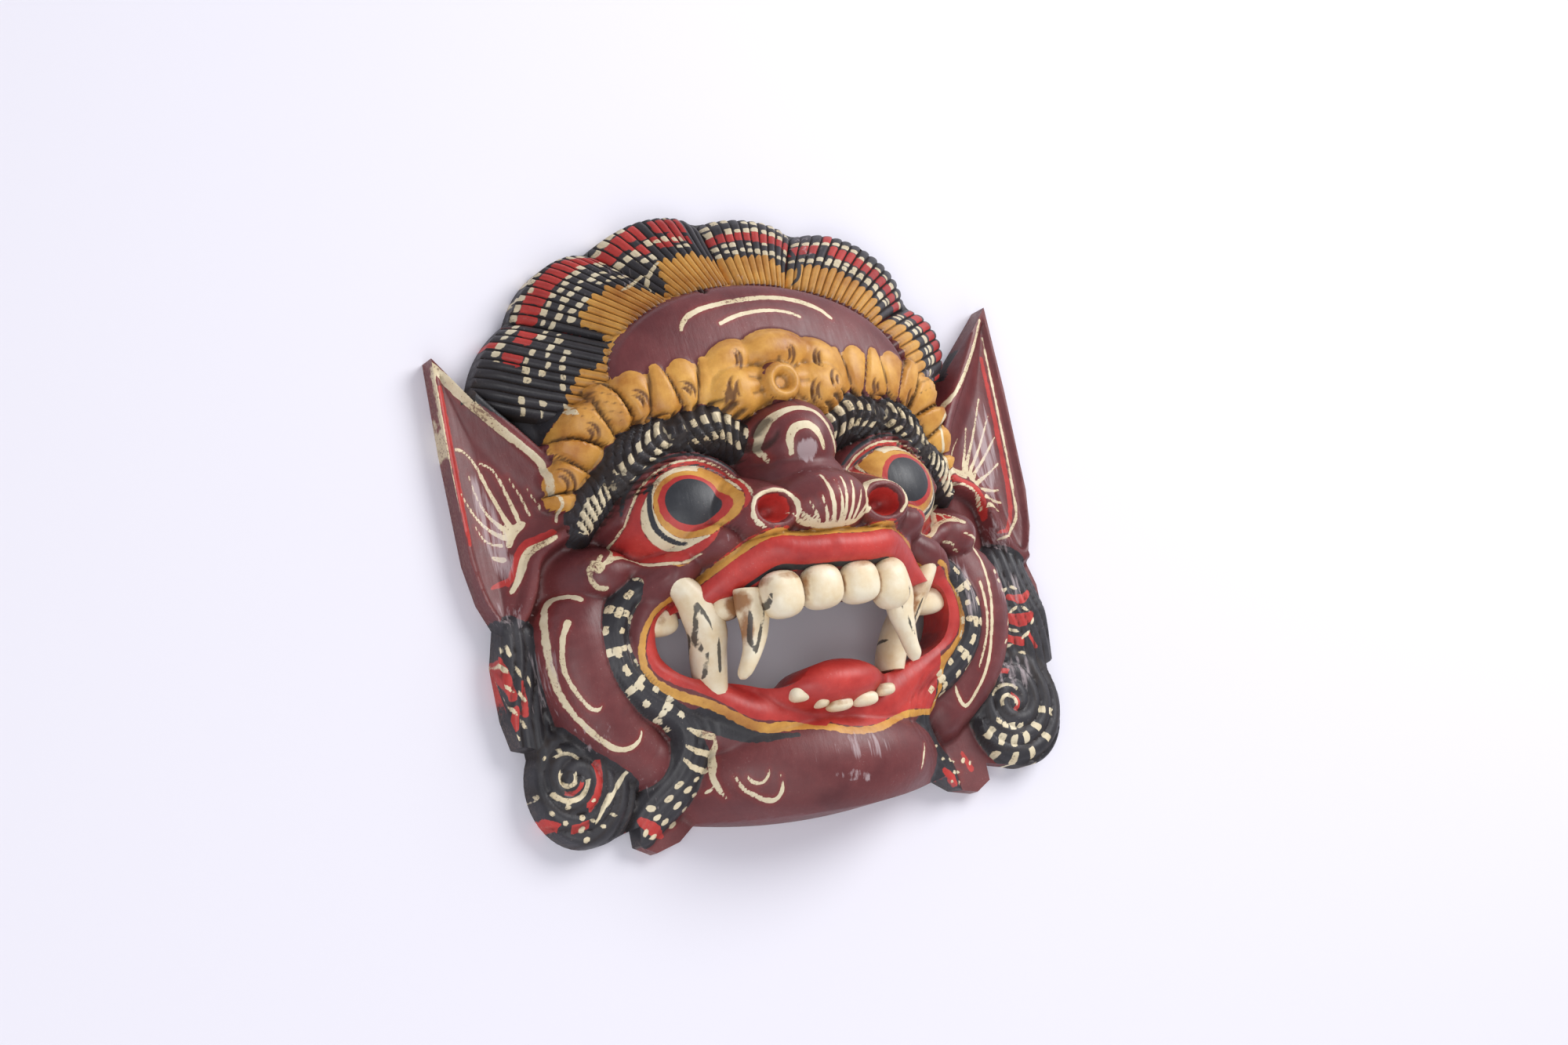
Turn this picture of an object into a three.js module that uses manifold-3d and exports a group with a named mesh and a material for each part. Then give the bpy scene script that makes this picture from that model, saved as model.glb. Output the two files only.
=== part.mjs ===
// A carved wooden demon mask of the Balinese barong family, lying face up on its back rim.
// Millimetres, +Z up. X runs to the viewer's right, Y to the top of the head, Z out of the face.
// The relief is one height over the XY plane, built from named volumes. Teeth, fangs, tusks and
// the combed hair locks are solids of their own that are joined to it.

import * as THREE from 'three';
import { mergeVertices } from 'three/addons/utils/BufferGeometryUtils.js';
import Module from 'manifold-3d';

const wasm = await Module();
wasm.setup();

// ---------------------------------------------------------------- driving dimensions

const BLOCK = { centre: [3, 5], half: 156, step: 1.4, floor: -6 }; // wood that the relief is cut from
const FACETS = 9600; // triangles of the finished solid
const BLEND = 2.5; // rounding where two volumes meet
const ROUND_TO = 0.93; // share of a half width that is a quarter round
const CUT_SLOPE = 2.6; // steepness of the cut that it runs out into
const NONE = -40; // height of a volume where it is absent
const HOLLOW = { at: [2, -2], size: [97, 105], depth: 36 };
const NOSE_HOLLOW = { at: [0, -10], size: [28, 25], depth: 58 };

// The carver let some groups of features lean. Angles are in degrees, clockwise.
const RIM_LEAN = -1;
const DOME_LEAN = 3.6;
const MOUTH_LEAN = 2.4;
const RIM_SHIFT = 3;
const NOSE_PIVOT = [0, -7];

// Hair: a fan of locks about one centre. Each notch is where two locks meet on the outline.
const FAN = [2, 38];
const NOTCHES = [
  [-130, 67], [-104, 104], [-59.5, 133.5], [0.5, 144.8], [50.3, 136.8], [106.4, 98], [115, 60],
];
const ROOT_TURN = [6, -2, -2.7, 3.2, 6, 3.7, -4]; // degrees that each notch turns on its way in
const LOCK_BULGE = [5, 8, 7, 3, 10, 7];
const LOCK_STRANDS = [9, 9, 9, 9, 10, 6];
const LOCK = { root: 33, rim: 9, crown: 5, strand: 1.6, lip: 5, lipFrom: 0.8, reach: 1.06, tuck: -0.12 };
const FACE_BLANK = { half: [122, 142], rim: 7, rise: 22, power: 0.7 };
const PAST_MIDDLE = -12; // how far each half of the face is worked out beyond the middle

// Forehead dome.
const DOME = { at: [2, 62], size: [80, 46], top: 53, drop: 19 };

// ---------------------------------------------------------------- small maths

const rad = THREE.MathUtils.degToRad;
const lerp = THREE.MathUtils.lerp;
const clamp = THREE.MathUtils.clamp;
const smoothstep = THREE.MathUtils.smoothstep;

function softMax(a, b, k) {
  const near = Math.max(k - Math.abs(a - b), 0) / k;
  return Math.max(a, b) + near * near * k * 0.25;
}

// Turns a point about a pivot, so that a feature group is described upright.
function upright(x, y, degrees, [px, py]) {
  const c = Math.cos(rad(degrees));
  const s = Math.sin(rad(degrees));
  return [px + c * (x - px) - s * (y - py), py + s * (x - px) + c * (y - py)];
}

// Nearest point of a path whose knots are [x, y, ...values]: the distance and the values there.
function nearest(path, x, y) {
  let best = { distance: Infinity, values: path[0] };
  for (let i = 0; i + 1 < path.length; i += 1) {
    const [a, b] = [path[i], path[i + 1]];
    const [dx, dy] = [b[0] - a[0], b[1] - a[1]];
    const t = clamp(((x - a[0]) * dx + (y - a[1]) * dy) / (dx * dx + dy * dy), 0, 1);
    const distance = Math.hypot(x - a[0] - t * dx, y - a[1] - t * dy);
    if (distance < best.distance) best = { distance, values: a.map((v, k) => lerp(v, b[k], t)) };
  }
  return best;
}

// A path with rounded bends: `steps` knots along each stretch of a Catmull-Rom curve.
function smooth(path, steps = 4) {
  const knot = (i) => path[clamp(i, 0, path.length - 1)];
  const bend = (i, t) => path[0].map((_, k) => {
    const [a, b, c, d] = [knot(i - 1)[k], knot(i)[k], knot(i + 1)[k], knot(i + 2)[k]];
    return b + 0.5 * t * (c - a + t * (2 * a - 5 * b + 4 * c - d + t * (3 * (b - c) + d - a)));
  });
  const inner = path.slice(1).flatMap((_, i) => [...Array(steps).keys()].map((j) => bend(i, j / steps)));
  return [...inner, path[path.length - 1]];
}

function inside(polygon, x, y) {
  let odd = false;
  for (let i = 0, j = polygon.length - 1; i < polygon.length; j = i, i += 1) {
    const [[xi, yi], [xj, yj]] = [polygon[i], polygon[j]];
    if (yi > y !== yj > y && x < ((xj - xi) * (y - yi)) / (yj - yi) + xi) odd = !odd;
  }
  return odd;
}

// Section of every rounded volume: a quarter round that runs out into a steep straight cut.
function fall(r, half, drop) {
  const round = Math.min(r, ROUND_TO);
  return drop * (1 - Math.sqrt(1 - round * round)) + CUT_SLOPE * half * (r - round);
}

// A rounded volume: an elliptic cap with its crest at `top`, `drop` above its edge.
function cap(x, y, { at, size, turn = 0, top, drop }) {
  const [u, v] = upright(x - at[0], y - at[1], turn, [0, 0]);
  return top - fall(Math.hypot(u / size[0], v / size[1]), Math.min(...size), drop);
}

// A rounded roll of wood along a path of [x, y, crest height, half width].
function roll(x, y, path, drop) {
  const { distance, values } = nearest(path, x, y);
  return values[2] - fall(distance / values[3], values[3], drop);
}

// ---------------------------------------------------------------- the face, one half at a time

// Knots are [distance from the middle, y, crest height, half width].
const BROW_LOBES = [
  smooth([[23, 33, 54, 11], [34, 38, 57, 12.5], [47, 37.5, 54, 11.5]]),
  smooth([[59, 37.5, 50, 11.5], [68, 32, 48, 12.5], [76, 23, 43, 11]]),
  smooth([[84, 19, 38, 9.5], [90, 12, 35, 9], [95, 3, 30, 6.5]]),
];
const EYELID = smooth([
  [21, 2, 49, 3], [31, 18, 51, 3.5], [50, 26, 52, 3.5], [68, 21, 47, 3.5], [80, 4, 39, 3.5],
]);
const EYE_SACK = smooth([
  [28, -12, 52, 4], [48, -22, 48, 5], [66, -24, 43, 5], [84, -16, 37, 4], [95, -14, 33, 4],
]);
const CHEEK = smooth([
  [98, -29, 31, 14], [105, -42, 34, 18], [105, -62, 33, 19], [97, -81, 29, 18.5], [82, -97, 24, 15],
]);
const CHEEK_SHIFT = { left: 2, right: -11 }; // the right cheek is set further in
const BEARD = smooth([
  [72, -27, 44, 5], [84, -35, 39, 6.5], [91, -49, 37, 7], [88, -64, 36, 7.5], [77, -76, 34, 8],
  [63, -85, 32, 8], [57, -98, 30, 9], [63, -113, 24, 10], [74, -124, 17, 10.5], [80, -133, 12, 8],
]);
const CROWN_BAND = smooth([
  [97, 21, 26, 7], [90, 40, 34, 10], [78, 53, 42, 11], [61, 57, 48, 11], [43, 59, 52, 11], [27, 60, 54, 9],
]);
const CROWN_LOBE = { every: 14.5, first: 5, size: [11, 6.8], rise: 1.5, drop: 5 };
const SIDE_LOCKS = {
  left: [[134, -36, 15, 10.5], [135, -60, 16, 11], [133, -88, 14, 10.5]],
  right: [[122, -40, 17, 15], [124, -60, 18, 18.5], [125, -84, 15, 17]],
};
const SIDE_LOCK_WAVE = { pitch: 6.2, depth: 0.9, crest: 120 }; // combed waves across the side locks
const CURL = { at: [114.5, -103], size: [25, 29], top: 19, drop: 9, pitch: 7.2, depth: 1.3 };
const EAR_EDGE = smooth([
  [146, 92], [131, 70], [115, 49], [103, 32], [98, 18], [101, 8], [112, 3], [120, -4], [124, -16],
  [131, -28], [139, -30], [145, -14], [147, 10], [147, 50], [146, 92],
], 3);
const EAR = { from: 98, width: 49, inner: 25, outer: 11, dish: 11, slope: 14, rim: 3 };
const UPPER_LIP = smooth([
  [0, -25, 82, 8], [16, -25, 81, 8], [29, -24, 78, 8.5],
  [40, -29, 69, 8.5], [49, -35, 60, 7.5], [58, -41, 53, 5],
]);
const LOWER_LIP = smooth([
  [66, -32, 45, 6], [76, -41, 41, 7], [79, -54, 38, 7.5], [75, -66, 37, 7.5], [63, -74, 38, 8],
  [47, -82, 40, 9], [33, -89, 41, 9.5], [20, -91, 41, 9.5], [0, -89, 41, 9.5],
]);

const HALF_CAPS = {
  eyeball: { at: [51, 3], size: [27, 23.5], top: 59, drop: 22 },
  nostrilWing: { at: [27.5, -6], size: [13, 12], top: 77, drop: 16 },
  nosePuff: { at: [47, -14.5], size: [11.5, 8], turn: -10, top: 68.5, drop: 12 },
  lipPuff: { at: [61, -24], size: [18, 9.5], turn: 30, top: 55, drop: 14 },
  cheekbone: { at: [90, -18], size: [14, 11], top: 39, drop: 12 },
};
const NOSTRIL = { at: [28, -6.2], wide: 1.24, floor: 1.3, edge: 7.3, depth: 9 };

// The ear: a thin rim round a dish that is deepest beside the cheek.
function ear(u, y) {
  const { distance } = nearest(EAR_EDGE, u, y);
  const across = clamp((u - EAR.from) / EAR.width, 0, 1);
  const level = lerp(EAR.inner, EAR.outer, across);
  if (!inside(EAR_EDGE, u, y)) return level - fall(distance / EAR.rim, EAR.rim, 1);
  return level - lerp(EAR.dish, EAR.dish / 2, across) * smoothstep(distance, 1, EAR.slope);
}

// A disc whose crest winds inwards as a spiral roll.
function curl(u, y) {
  const disc = cap(u, y, CURL);
  if (disc < 0) return NONE;
  const dx = u - CURL.at[0];
  const dy = (y - CURL.at[1]) * (CURL.size[0] / CURL.size[1]);
  const turns = Math.hypot(dx, dy) / CURL.pitch - Math.atan2(dy, dx) / (2 * Math.PI);
  return disc + CURL.depth * Math.cos(2 * Math.PI * turns);
}

// Gilded lobes, one after another along the crown band and square to it.
function crownLobes() {
  const lobes = [];
  let along = CROWN_LOBE.first;
  for (let i = 1; i < CROWN_BAND.length; i += 1) {
    const [a, b] = [CROWN_BAND[i - 1], CROWN_BAND[i]];
    const [dx, dy] = [b[0] - a[0], b[1] - a[1]];
    const length = Math.hypot(dx, dy);
    const turn = 90 - THREE.MathUtils.radToDeg(Math.atan2(dy, dx));
    for (; along < length; along += CROWN_LOBE.every) {
      const [x, y, z] = a.map((v, k) => lerp(v, b[k], along / length));
      lobes.push({ ...CROWN_LOBE, at: [x, y], turn, top: z + CROWN_LOBE.rise });
    }
    along -= length;
  }
  return lobes;
}

const CROWN_LOBES = crownLobes();

function crownBand(u, y) {
  let height = roll(u, y, CROWN_BAND, 4);
  for (const lobe of CROWN_LOBES) height = softMax(height, cap(u, y, lobe), 1);
  return height;
}

// Everything that is made once for each side.
function halfFace(side, x, y) {
  const [rx, ry] = upright(x - RIM_SHIFT, y, RIM_LEAN, [0, 0]);
  const [mx, my] = upright(x, y, MOUTH_LEAN, NOSE_PIVOT);
  const rimU = rx * side;
  const mouthU = mx * side;
  const u = x * side;
  if (u < PAST_MIDDLE) return NONE;
  const name = side < 0 ? 'left' : 'right';
  const wave = Math.cos((2 * Math.PI * (rimU - SIDE_LOCK_WAVE.crest)) / SIDE_LOCK_WAVE.pitch);
  const sideLock = roll(rimU, ry, SIDE_LOCKS[name], 7) + SIDE_LOCK_WAVE.depth * wave;
  const volumes = [
    cap(u, y, HALF_CAPS.eyeball), cap(mouthU, my, HALF_CAPS.nostrilWing), cap(u, y, HALF_CAPS.nosePuff),
    cap(mouthU, my, HALF_CAPS.lipPuff), cap(u, y, HALF_CAPS.cheekbone),
    ...BROW_LOBES.map((lobe) => roll(u, y, lobe, 14)), roll(u, y, EYELID, 4), roll(u, y, EYE_SACK, 5),
    roll(rimU - CHEEK_SHIFT[name], ry, CHEEK, 15), roll(mouthU, my, BEARD, 8),
    sideLock < 0 ? NONE : sideLock, curl(rimU, ry), ear(rimU, ry), crownBand(u, y),
    roll(mouthU, my, LOWER_LIP, 9), roll(mouthU, my, UPPER_LIP, 10),
  ];
  return volumes.reduce((sum, volume) => softMax(sum, volume, BLEND), NONE);
}

// ---------------------------------------------------------------- the middle of the face

const MIDDLE_CAPS = [
  { at: [0, -8], size: [85, 62], top: 48, drop: 26 }, // mid face
  { at: [0.5, 27], size: [19.5, 19.5], top: 75, drop: 19 }, // forehead ball
  { at: [0, 8], size: [22, 16], top: 74, drop: 20 }, // nose bridge
  { at: [0, -4], size: [24, 16.5], top: 88, drop: 24 }, // nose
  { at: [0, -22], size: [52, 28], top: 75, drop: 24 }, // upper jaw
  { at: [0, -88], size: [66, 24], top: 40, drop: 14 }, // lower jaw
  { at: [3, -80.5], size: [27, 11.5], top: 57, drop: 18 }, // tongue
  { at: [2, -113], size: [61, 28], turn: 2, top: 47, drop: 30 }, // chin
  { at: [0, 54], size: [33, 12], top: 60, drop: 9 }, // crown flower
  { at: [-21, 53], size: [12.5, 11.5], top: 61, drop: 8 },
  { at: [21, 52], size: [12.5, 11.5], top: 61, drop: 8 },
  { at: [-22, 67.5], size: [13.5, 9], turn: -28, top: 57, drop: 7 }, // crown arch
  { at: [2, 70.5], size: [17, 10], top: 60, drop: 8 },
  { at: [24, 66], size: [13, 9], turn: 28, top: 57, drop: 7 },
];
const FLOWER_BOSS = { at: [-2, 54.5], radius: 6.5, half: 2.4, top: 64 };

function faceBlank(x, y) {
  const { half, rim, rise, power } = FACE_BLANK;
  const r = (x / half[0]) ** 2 + (y / half[1]) ** 2;
  return rim + rise * Math.max(0, 1 - r) ** power;
}

function flowerBoss(x, y) {
  const { at, radius, half, top } = FLOWER_BOSS;
  return top - fall(Math.abs(Math.hypot(x - at[0], y - at[1]) - radius) / half, half, 3);
}

// ---------------------------------------------------------------- hair

const polar = ([x, y]) => [Math.atan2(y - FAN[1], x - FAN[0]), Math.hypot(x - FAN[0], y - FAN[1])];
const NOTCH_POLAR = NOTCHES.map(polar);

// Radius of the dome's edge along a ray from the fan's centre.
function domeRadius(angle) {
  const [dx, dy] = upright(Math.cos(angle), Math.sin(angle), DOME_LEAN, [0, 0]);
  const [ox, oy] = [(FAN[0] - DOME.at[0]) / DOME.size[0], (FAN[1] - DOME.at[1]) / DOME.size[1]];
  const [ex, ey] = [dx / DOME.size[0], dy / DOME.size[1]];
  const a = ex * ex + ey * ey;
  const b = ox * ex + oy * ey;
  return (-b + Math.sqrt(b * b - a * (ox * ox + oy * oy - 1))) / a;
}

// A point of lock `i`: `s` runs from the dome (0) to the outline (1), `t` across the lock.
function lockPoint(i, s, t) {
  const turn = (k) => NOTCH_POLAR[k][0] + rad(ROOT_TURN[k]) * (1 - clamp(s, 0, 1));
  const angle = lerp(turn(i), turn(i + 1), t);
  const rim = lerp(NOTCH_POLAR[i][1], NOTCH_POLAR[i + 1][1], t) + LOCK_BULGE[i] * 4 * t * (1 - t);
  const radius = lerp(domeRadius(angle), rim, s);
  return [FAN[0] + radius * Math.cos(angle), FAN[1] + radius * Math.sin(angle)];
}

// The lock's crest falls from the dome to the outline and turns down over the edge.
function lockHeight(s, t) {
  const crest = lerp(LOCK.root, LOCK.rim, s < 0 ? 0 : s);
  const edge = LOCK.lip * clamp((s - LOCK.lipFrom) / (1 - LOCK.lipFrom), 0, 1.3) ** 2;
  return crest + LOCK.crown * (1 - (2 * t - 1) ** 4) - edge;
}

// ---------------------------------------------------------------- the whole relief

function relief(x, y) {
  const [dx, dy] = upright(x, y, DOME_LEAN, DOME.at);
  let height = softMax(faceBlank(x, y), cap(dx, dy, DOME), 1);
  for (const volume of MIDDLE_CAPS) height = softMax(height, cap(x, y, volume), BLEND);
  height = softMax(height, flowerBoss(x, y), 1);
  for (const side of [-1, 1]) height = softMax(height, halfFace(side, x, y), BLEND);
  const [mx, my] = upright(x, y, MOUTH_LEAN, NOSE_PIVOT);
  for (const side of [-1, 1]) {
    const r = Math.hypot((mx * side - NOSTRIL.at[0]) / NOSTRIL.wide, my - NOSTRIL.at[1]);
    height -= NOSTRIL.depth * (1 - smoothstep(r, NOSTRIL.floor, NOSTRIL.edge));
  }
  return height;
}

// ---------------------------------------------------------------- solids

function toSolid(geometry) {
  const clean = geometry.index ? geometry.clone() : geometry;
  for (const name of Object.keys(clean.attributes)) if (name !== 'position') clean.deleteAttribute(name);
  const merged = mergeVertices(clean, 1e-4);
  return new wasm.Manifold(new wasm.Mesh({
    numProp: 3,
    vertProperties: Float32Array.from(merged.attributes.position.array),
    triVerts: Uint32Array.from(merged.index.array),
  }));
}

function fromTriangles(triangles) {
  const geometry = new THREE.BufferGeometry();
  geometry.setAttribute('position', new THREE.Float32BufferAttribute(triangles.flat(2), 3));
  return toSolid(geometry);
}

// A square block of wood with the relief as its top.
function reliefBlock() {
  const cells = Math.round((2 * BLOCK.half) / BLOCK.step);
  const geometry = new THREE.BoxGeometry(2 * BLOCK.half, 2 * BLOCK.half, 1, cells, cells, 1);
  const points = geometry.attributes.position;
  for (let i = 0; i < points.count; i += 1) {
    const [x, y] = [points.getX(i) + BLOCK.centre[0], points.getY(i) + BLOCK.centre[1]];
    points.setXYZ(i, x, y, points.getZ(i) > 0 ? relief(x, y) : BLOCK.floor);
  }
  return toSolid(geometry);
}

function prism(points, low, high) {
  const shape = new THREE.Shape(points.map(([x, y]) => new THREE.Vector2(x, y)));
  const geometry = new THREE.ExtrudeGeometry(shape, { depth: high - low, bevelEnabled: false });
  return toSolid(geometry.translate(0, 0, low));
}

function ellipsoid([x, y, z], [rx, ry, rz], around, up, squareness = 1) {
  const geometry = new THREE.SphereGeometry(1, around, up).rotateX(Math.PI / 2);
  const points = geometry.attributes.position;
  const square = (v) => Math.sign(v) * Math.abs(v) ** squareness;
  for (let i = 0; i < points.count; i += 1) {
    points.setXYZ(i, square(points.getX(i)), square(points.getY(i)), square(points.getZ(i)));
  }
  return toSolid(geometry.scale(rx, ry, rz).translate(x, y, z));
}

// The combed front of one lock: a V groove between each pair of strands.
function lockSolid(i) {
  const strands = LOCK_STRANDS[i];
  const rows = [LOCK.tuck, 0.5, 0.85, LOCK.reach];
  const across = [...Array(2 * strands + 1).keys()];
  const grid = rows.map((s) => across.map((k) => {
    const t = k / (2 * strands);
    const groove = k % 2 ? 0 : LOCK.strand;
    return [...lockPoint(i, s, t), lockHeight(s, t) - groove];
  }));
  const faces = [];
  const low = ([x, y]) => [x, y, 1];
  for (let r = 0; r + 1 < rows.length; r += 1) {
    for (let k = 0; k + 1 < across.length; k += 1) {
      const [a, b, c, d] = [grid[r][k], grid[r + 1][k], grid[r + 1][k + 1], grid[r][k + 1]];
      faces.push([a, c, b], [a, d, c], [low(a), low(b), low(c)], [low(a), low(c), low(d)]);
    }
  }
  const wall = (p, q) => faces.push([p, q, low(q)], [p, low(q), low(p)]);
  const last = across.length - 1;
  const end = rows.length - 1;
  for (let k = 0; k < last; k += 1) {
    wall(grid[0][k + 1], grid[0][k]);
    wall(grid[end][k], grid[end][k + 1]);
  }
  for (let r = 0; r < end; r += 1) {
    wall(grid[r][0], grid[r + 1][0]);
    wall(grid[r + 1][last], grid[r][last]);
  }
  return fromTriangles(faces);
}

// A tooth swept along knots of [x, y, z of its middle, half width, half depth], rounded in section.
function sweptTooth(knots, sides = 10) {
  const rings = knots.map(([x, y, z, half, depth], i) => {
    const before = knots[Math.max(0, i - 1)];
    const after = knots[Math.min(knots.length - 1, i + 1)];
    const along = Math.atan2(after[1] - before[1], after[0] - before[0]);
    return [...Array(sides).keys()].map((k) => {
      const angle = (2 * Math.PI * k) / sides;
      const across = half * Math.cos(angle);
      return [x - across * Math.sin(along), y + across * Math.cos(along), z + depth * Math.sin(angle)];
    });
  });
  const faces = [];
  for (let i = 0; i + 1 < rings.length; i += 1) {
    for (let k = 0; k < sides; k += 1) {
      const l = (k + 1) % sides;
      faces.push([rings[i][k], rings[i][l], rings[i + 1][k]]);
      faces.push([rings[i][l], rings[i + 1][l], rings[i + 1][k]]);
    }
  }
  const centre = (ring) => ring[0].map((_, k) => ring.reduce((sum, p) => sum + p[k], 0) / sides);
  const [first, last] = [rings[0], rings[rings.length - 1]];
  for (let k = 0; k < sides; k += 1) {
    const l = (k + 1) % sides;
    faces.push([centre(first), first[l], first[k]], [centre(last), last[k], last[l]]);
  }
  return fromTriangles(faces);
}

// ---------------------------------------------------------------- outline and openings

function arcBetween([x0, y0], [x1, y1], bulge, steps) {
  return [...Array(steps).keys()].map((k) => {
    const t = k / steps;
    const out = bulge * 4 * t * (1 - t);
    const length = Math.hypot(x1 - x0, y1 - y0);
    return [lerp(x0, x1, t) - (out * (y1 - y0)) / length, lerp(y0, y1, t) + (out * (x1 - x0)) / length];
  });
}

// One side of the outline, from the hair down to the chin, as distances from the middle.
const SIDE_OUTLINE = [
  [146.5, 92], [147.5, 50], [147, 0], [144, -18], [139, -30],
  [143.5, -46], [143.5, -70], [141, -83], [135, -85],
];
const CURL_OUTLINE = { from: 32, to: -112, steps: 9 };
const TAIL_OUTLINE = [[93, -126], [93, -134], [85, -138.5], [73, -135.5], [64, -129]];
const CHIN_BULGE = 7;

function sideOutline(side) {
  const curlArc = [...Array(CURL_OUTLINE.steps + 1).keys()].map((k) => {
    const angle = rad(lerp(CURL_OUTLINE.from, CURL_OUTLINE.to, k / CURL_OUTLINE.steps));
    const [across, up] = CURL.size.map((half) => half - 1);
    return [CURL.at[0] + across * Math.cos(angle), CURL.at[1] + up * Math.sin(angle)];
  });
  return [...SIDE_OUTLINE, ...curlArc, ...TAIL_OUTLINE].map(([u, y]) => {
    const [x, up] = upright(u * side, y, -RIM_LEAN, [0, 0]);
    return [x + RIM_SHIFT, up];
  });
}

function maskOutline() {
  const rim = (bulge, i) => arcBetween(NOTCHES[i], NOTCHES[i + 1], bulge, 6);
  const hair = LOCK_BULGE.flatMap(rim);
  const right = sideOutline(1);
  const left = sideOutline(-1).reverse();
  const chin = arcBetween(right[right.length - 1], left[0], CHIN_BULGE, 8);
  return [...hair, NOTCHES[NOTCHES.length - 1], ...right.slice(0, -1), ...chin, ...left].reverse();
}

const MOUTH_HOLE = [
  [-36, -43.5], [-47, -43.5], [-56, -41], [-66, -40], [-72, -46], [-74, -55], [-70, -64],
  [-61, -69.5], [-48, -71.5], [-36, -75], [-24, -79.5], [-17, -78], [-10, -73], [3, -70.5],
  [16, -72.5], [28, -79], [36, -79], [48, -76], [61, -72], [71, -66], [75, -56], [73, -46],
  [66, -41], [56, -42], [47, -43.5], [36, -43.5],
];

// ---------------------------------------------------------------- teeth

const INCISORS = [
  { at: [-28, -42, 69], size: [9.4, 10.5, 9] },
  { at: [-9.2, -41, 71], size: [9.7, 10, 9] },
  { at: [9.8, -41, 71], size: [9.4, 9.6, 9] },
  { at: [27, -43, 69], size: [8.2, 11.5, 9] },
];
const LOWER_TEETH = [
  { at: [-15, -83.5, 46], size: [6, 3.8, 5] },
  { at: [-6.2, -88, 46], size: [3.6, 3.2, 5] },
  { at: [3, -90.5, 46], size: [6.4, 3.3, 5] },
  { at: [16.5, -90, 46], size: [6.2, 3.3, 5] },
  { at: [28.5, -87, 45], size: [4.2, 2.8, 5] },
];
const TOOTH_SQUARENESS = 0.75; // 1 is an ellipsoid, 0 a box
const MOLAR = { at: [69, -45, 32], size: [9, 6.5, 6] };
const TUSK_WEB = { at: [-46, -41.5, 48], size: [8, 6, 8] }; // joins the left tusk to the jaw
// Fangs and tusks, left then right, as [x, y, z of the middle, half width, half depth].
const FANGS = [
  [
    [-38, -37, 60, 8, 6], [-39, -45, 61, 8, 6], [-39.4, -51, 61, 7, 5.8], [-40, -57, 60, 5.8, 5.2],
    [-41.7, -63, 59, 4.4, 4.6], [-44.2, -68, 58, 3.7, 4], [-46.2, -72.3, 56, 3, 3.6],
    [-46.8, -74.5, 55, 1.4, 1.8],
  ],
  [
    [35, -38, 60, 7.5, 6], [35.5, -47, 61, 7.4, 6], [35.6, -55, 60, 6.2, 5.6], [37.2, -63, 59, 4.6, 4.6],
    [39.2, -69.5, 57, 3.6, 4], [41, -74.5, 56, 3, 3.6], [41.6, -77, 55, 1.4, 1.8],
  ],
];
const TUSKS = [
  [
    [-50.5, -78, 31, 6.4, 9], [-51.2, -71, 33, 7.2, 10], [-52, -60, 37, 7.8, 11], [-53, -50, 42, 8.8, 10.5],
    [-57.5, -39.5, 45, 8.2, 9], [-63.5, -31, 47, 6, 7.5], [-69, -25, 46, 4.8, 5.5],
    [-71.6, -22.6, 45, 2.6, 2.8],
  ],
  [
    [41.5, -78, 31, 5.8, 9], [42.5, -71, 33, 6.2, 10], [46, -61, 36, 6.2, 10], [51.5, -51, 40, 6.2, 9.5],
    [57.5, -42, 43, 5.6, 8.5], [63, -33.5, 45, 4.8, 7], [67, -27, 45, 3.6, 5], [69, -23.5, 44, 1.8, 2.5],
  ],
];

function teeth() {
  const rounded = [...INCISORS, ...LOWER_TEETH, TUSK_WEB];
  const solids = rounded.map(({ at, size }) => ellipsoid(at, size, 16, 9, TOOTH_SQUARENESS));
  for (const knots of [...FANGS, ...TUSKS]) solids.push(sweptTooth(smooth(knots, 2)));
  const [u, v, z] = MOLAR.at;
  for (const side of [-1, 1]) {
    const [x, y] = upright(u * side, v, -MOUTH_LEAN, NOSE_PIVOT);
    solids.push(ellipsoid([x, y, z], MOLAR.size, 12, 7, TOOTH_SQUARENESS));
  }
  return solids;
}

// ---------------------------------------------------------------- coarser facets

// A priority queue, cheapest first.
class Heap {
  items = [];

  push(item) {
    this.items.push(item);
    let i = this.items.length - 1;
    while (i > 0 && this.items[(i - 1) >> 1].cost > item.cost) {
      this.items[i] = this.items[(i - 1) >> 1];
      i = (i - 1) >> 1;
    }
    this.items[i] = item;
  }

  pop() {
    const first = this.items[0];
    const item = this.items.pop();
    const n = this.items.length;
    if (!n) return first;
    let i = 0;
    for (;;) {
      let child = 2 * i + 1;
      if (child >= n) break;
      if (child + 1 < n && this.items[child + 1].cost < this.items[child].cost) child += 1;
      if (this.items[child].cost >= item.cost) break;
      this.items[i] = this.items[child];
      i = child;
    }
    this.items[i] = item;
    return first;
  }
}

const LENGTH_COST = 1e-4; // a small cost for long edges, so that flat areas thin out evenly
const LEAST_TURN = 0.3; // cosine: a join may not turn a facet further than this

// Error planes of a vertex: the ten sums of a symmetric 4x4 matrix, from the planes that meet there.
function addPlane(sums, [a, b, c, d], weight) {
  const products = [a * a, a * b, a * c, a * d, b * b, b * c, b * d, c * c, c * d, d * d];
  products.forEach((product, k) => {
    sums[k] += weight * product;
  });
}

function planeError(q, [x, y, z]) {
  return q[0] * x * x + 2 * q[1] * x * y + 2 * q[2] * x * z + 2 * q[3] * x + q[4] * y * y
    + 2 * q[5] * y * z + 2 * q[6] * y + q[7] * z * z + 2 * q[8] * z + q[9];
}

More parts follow.
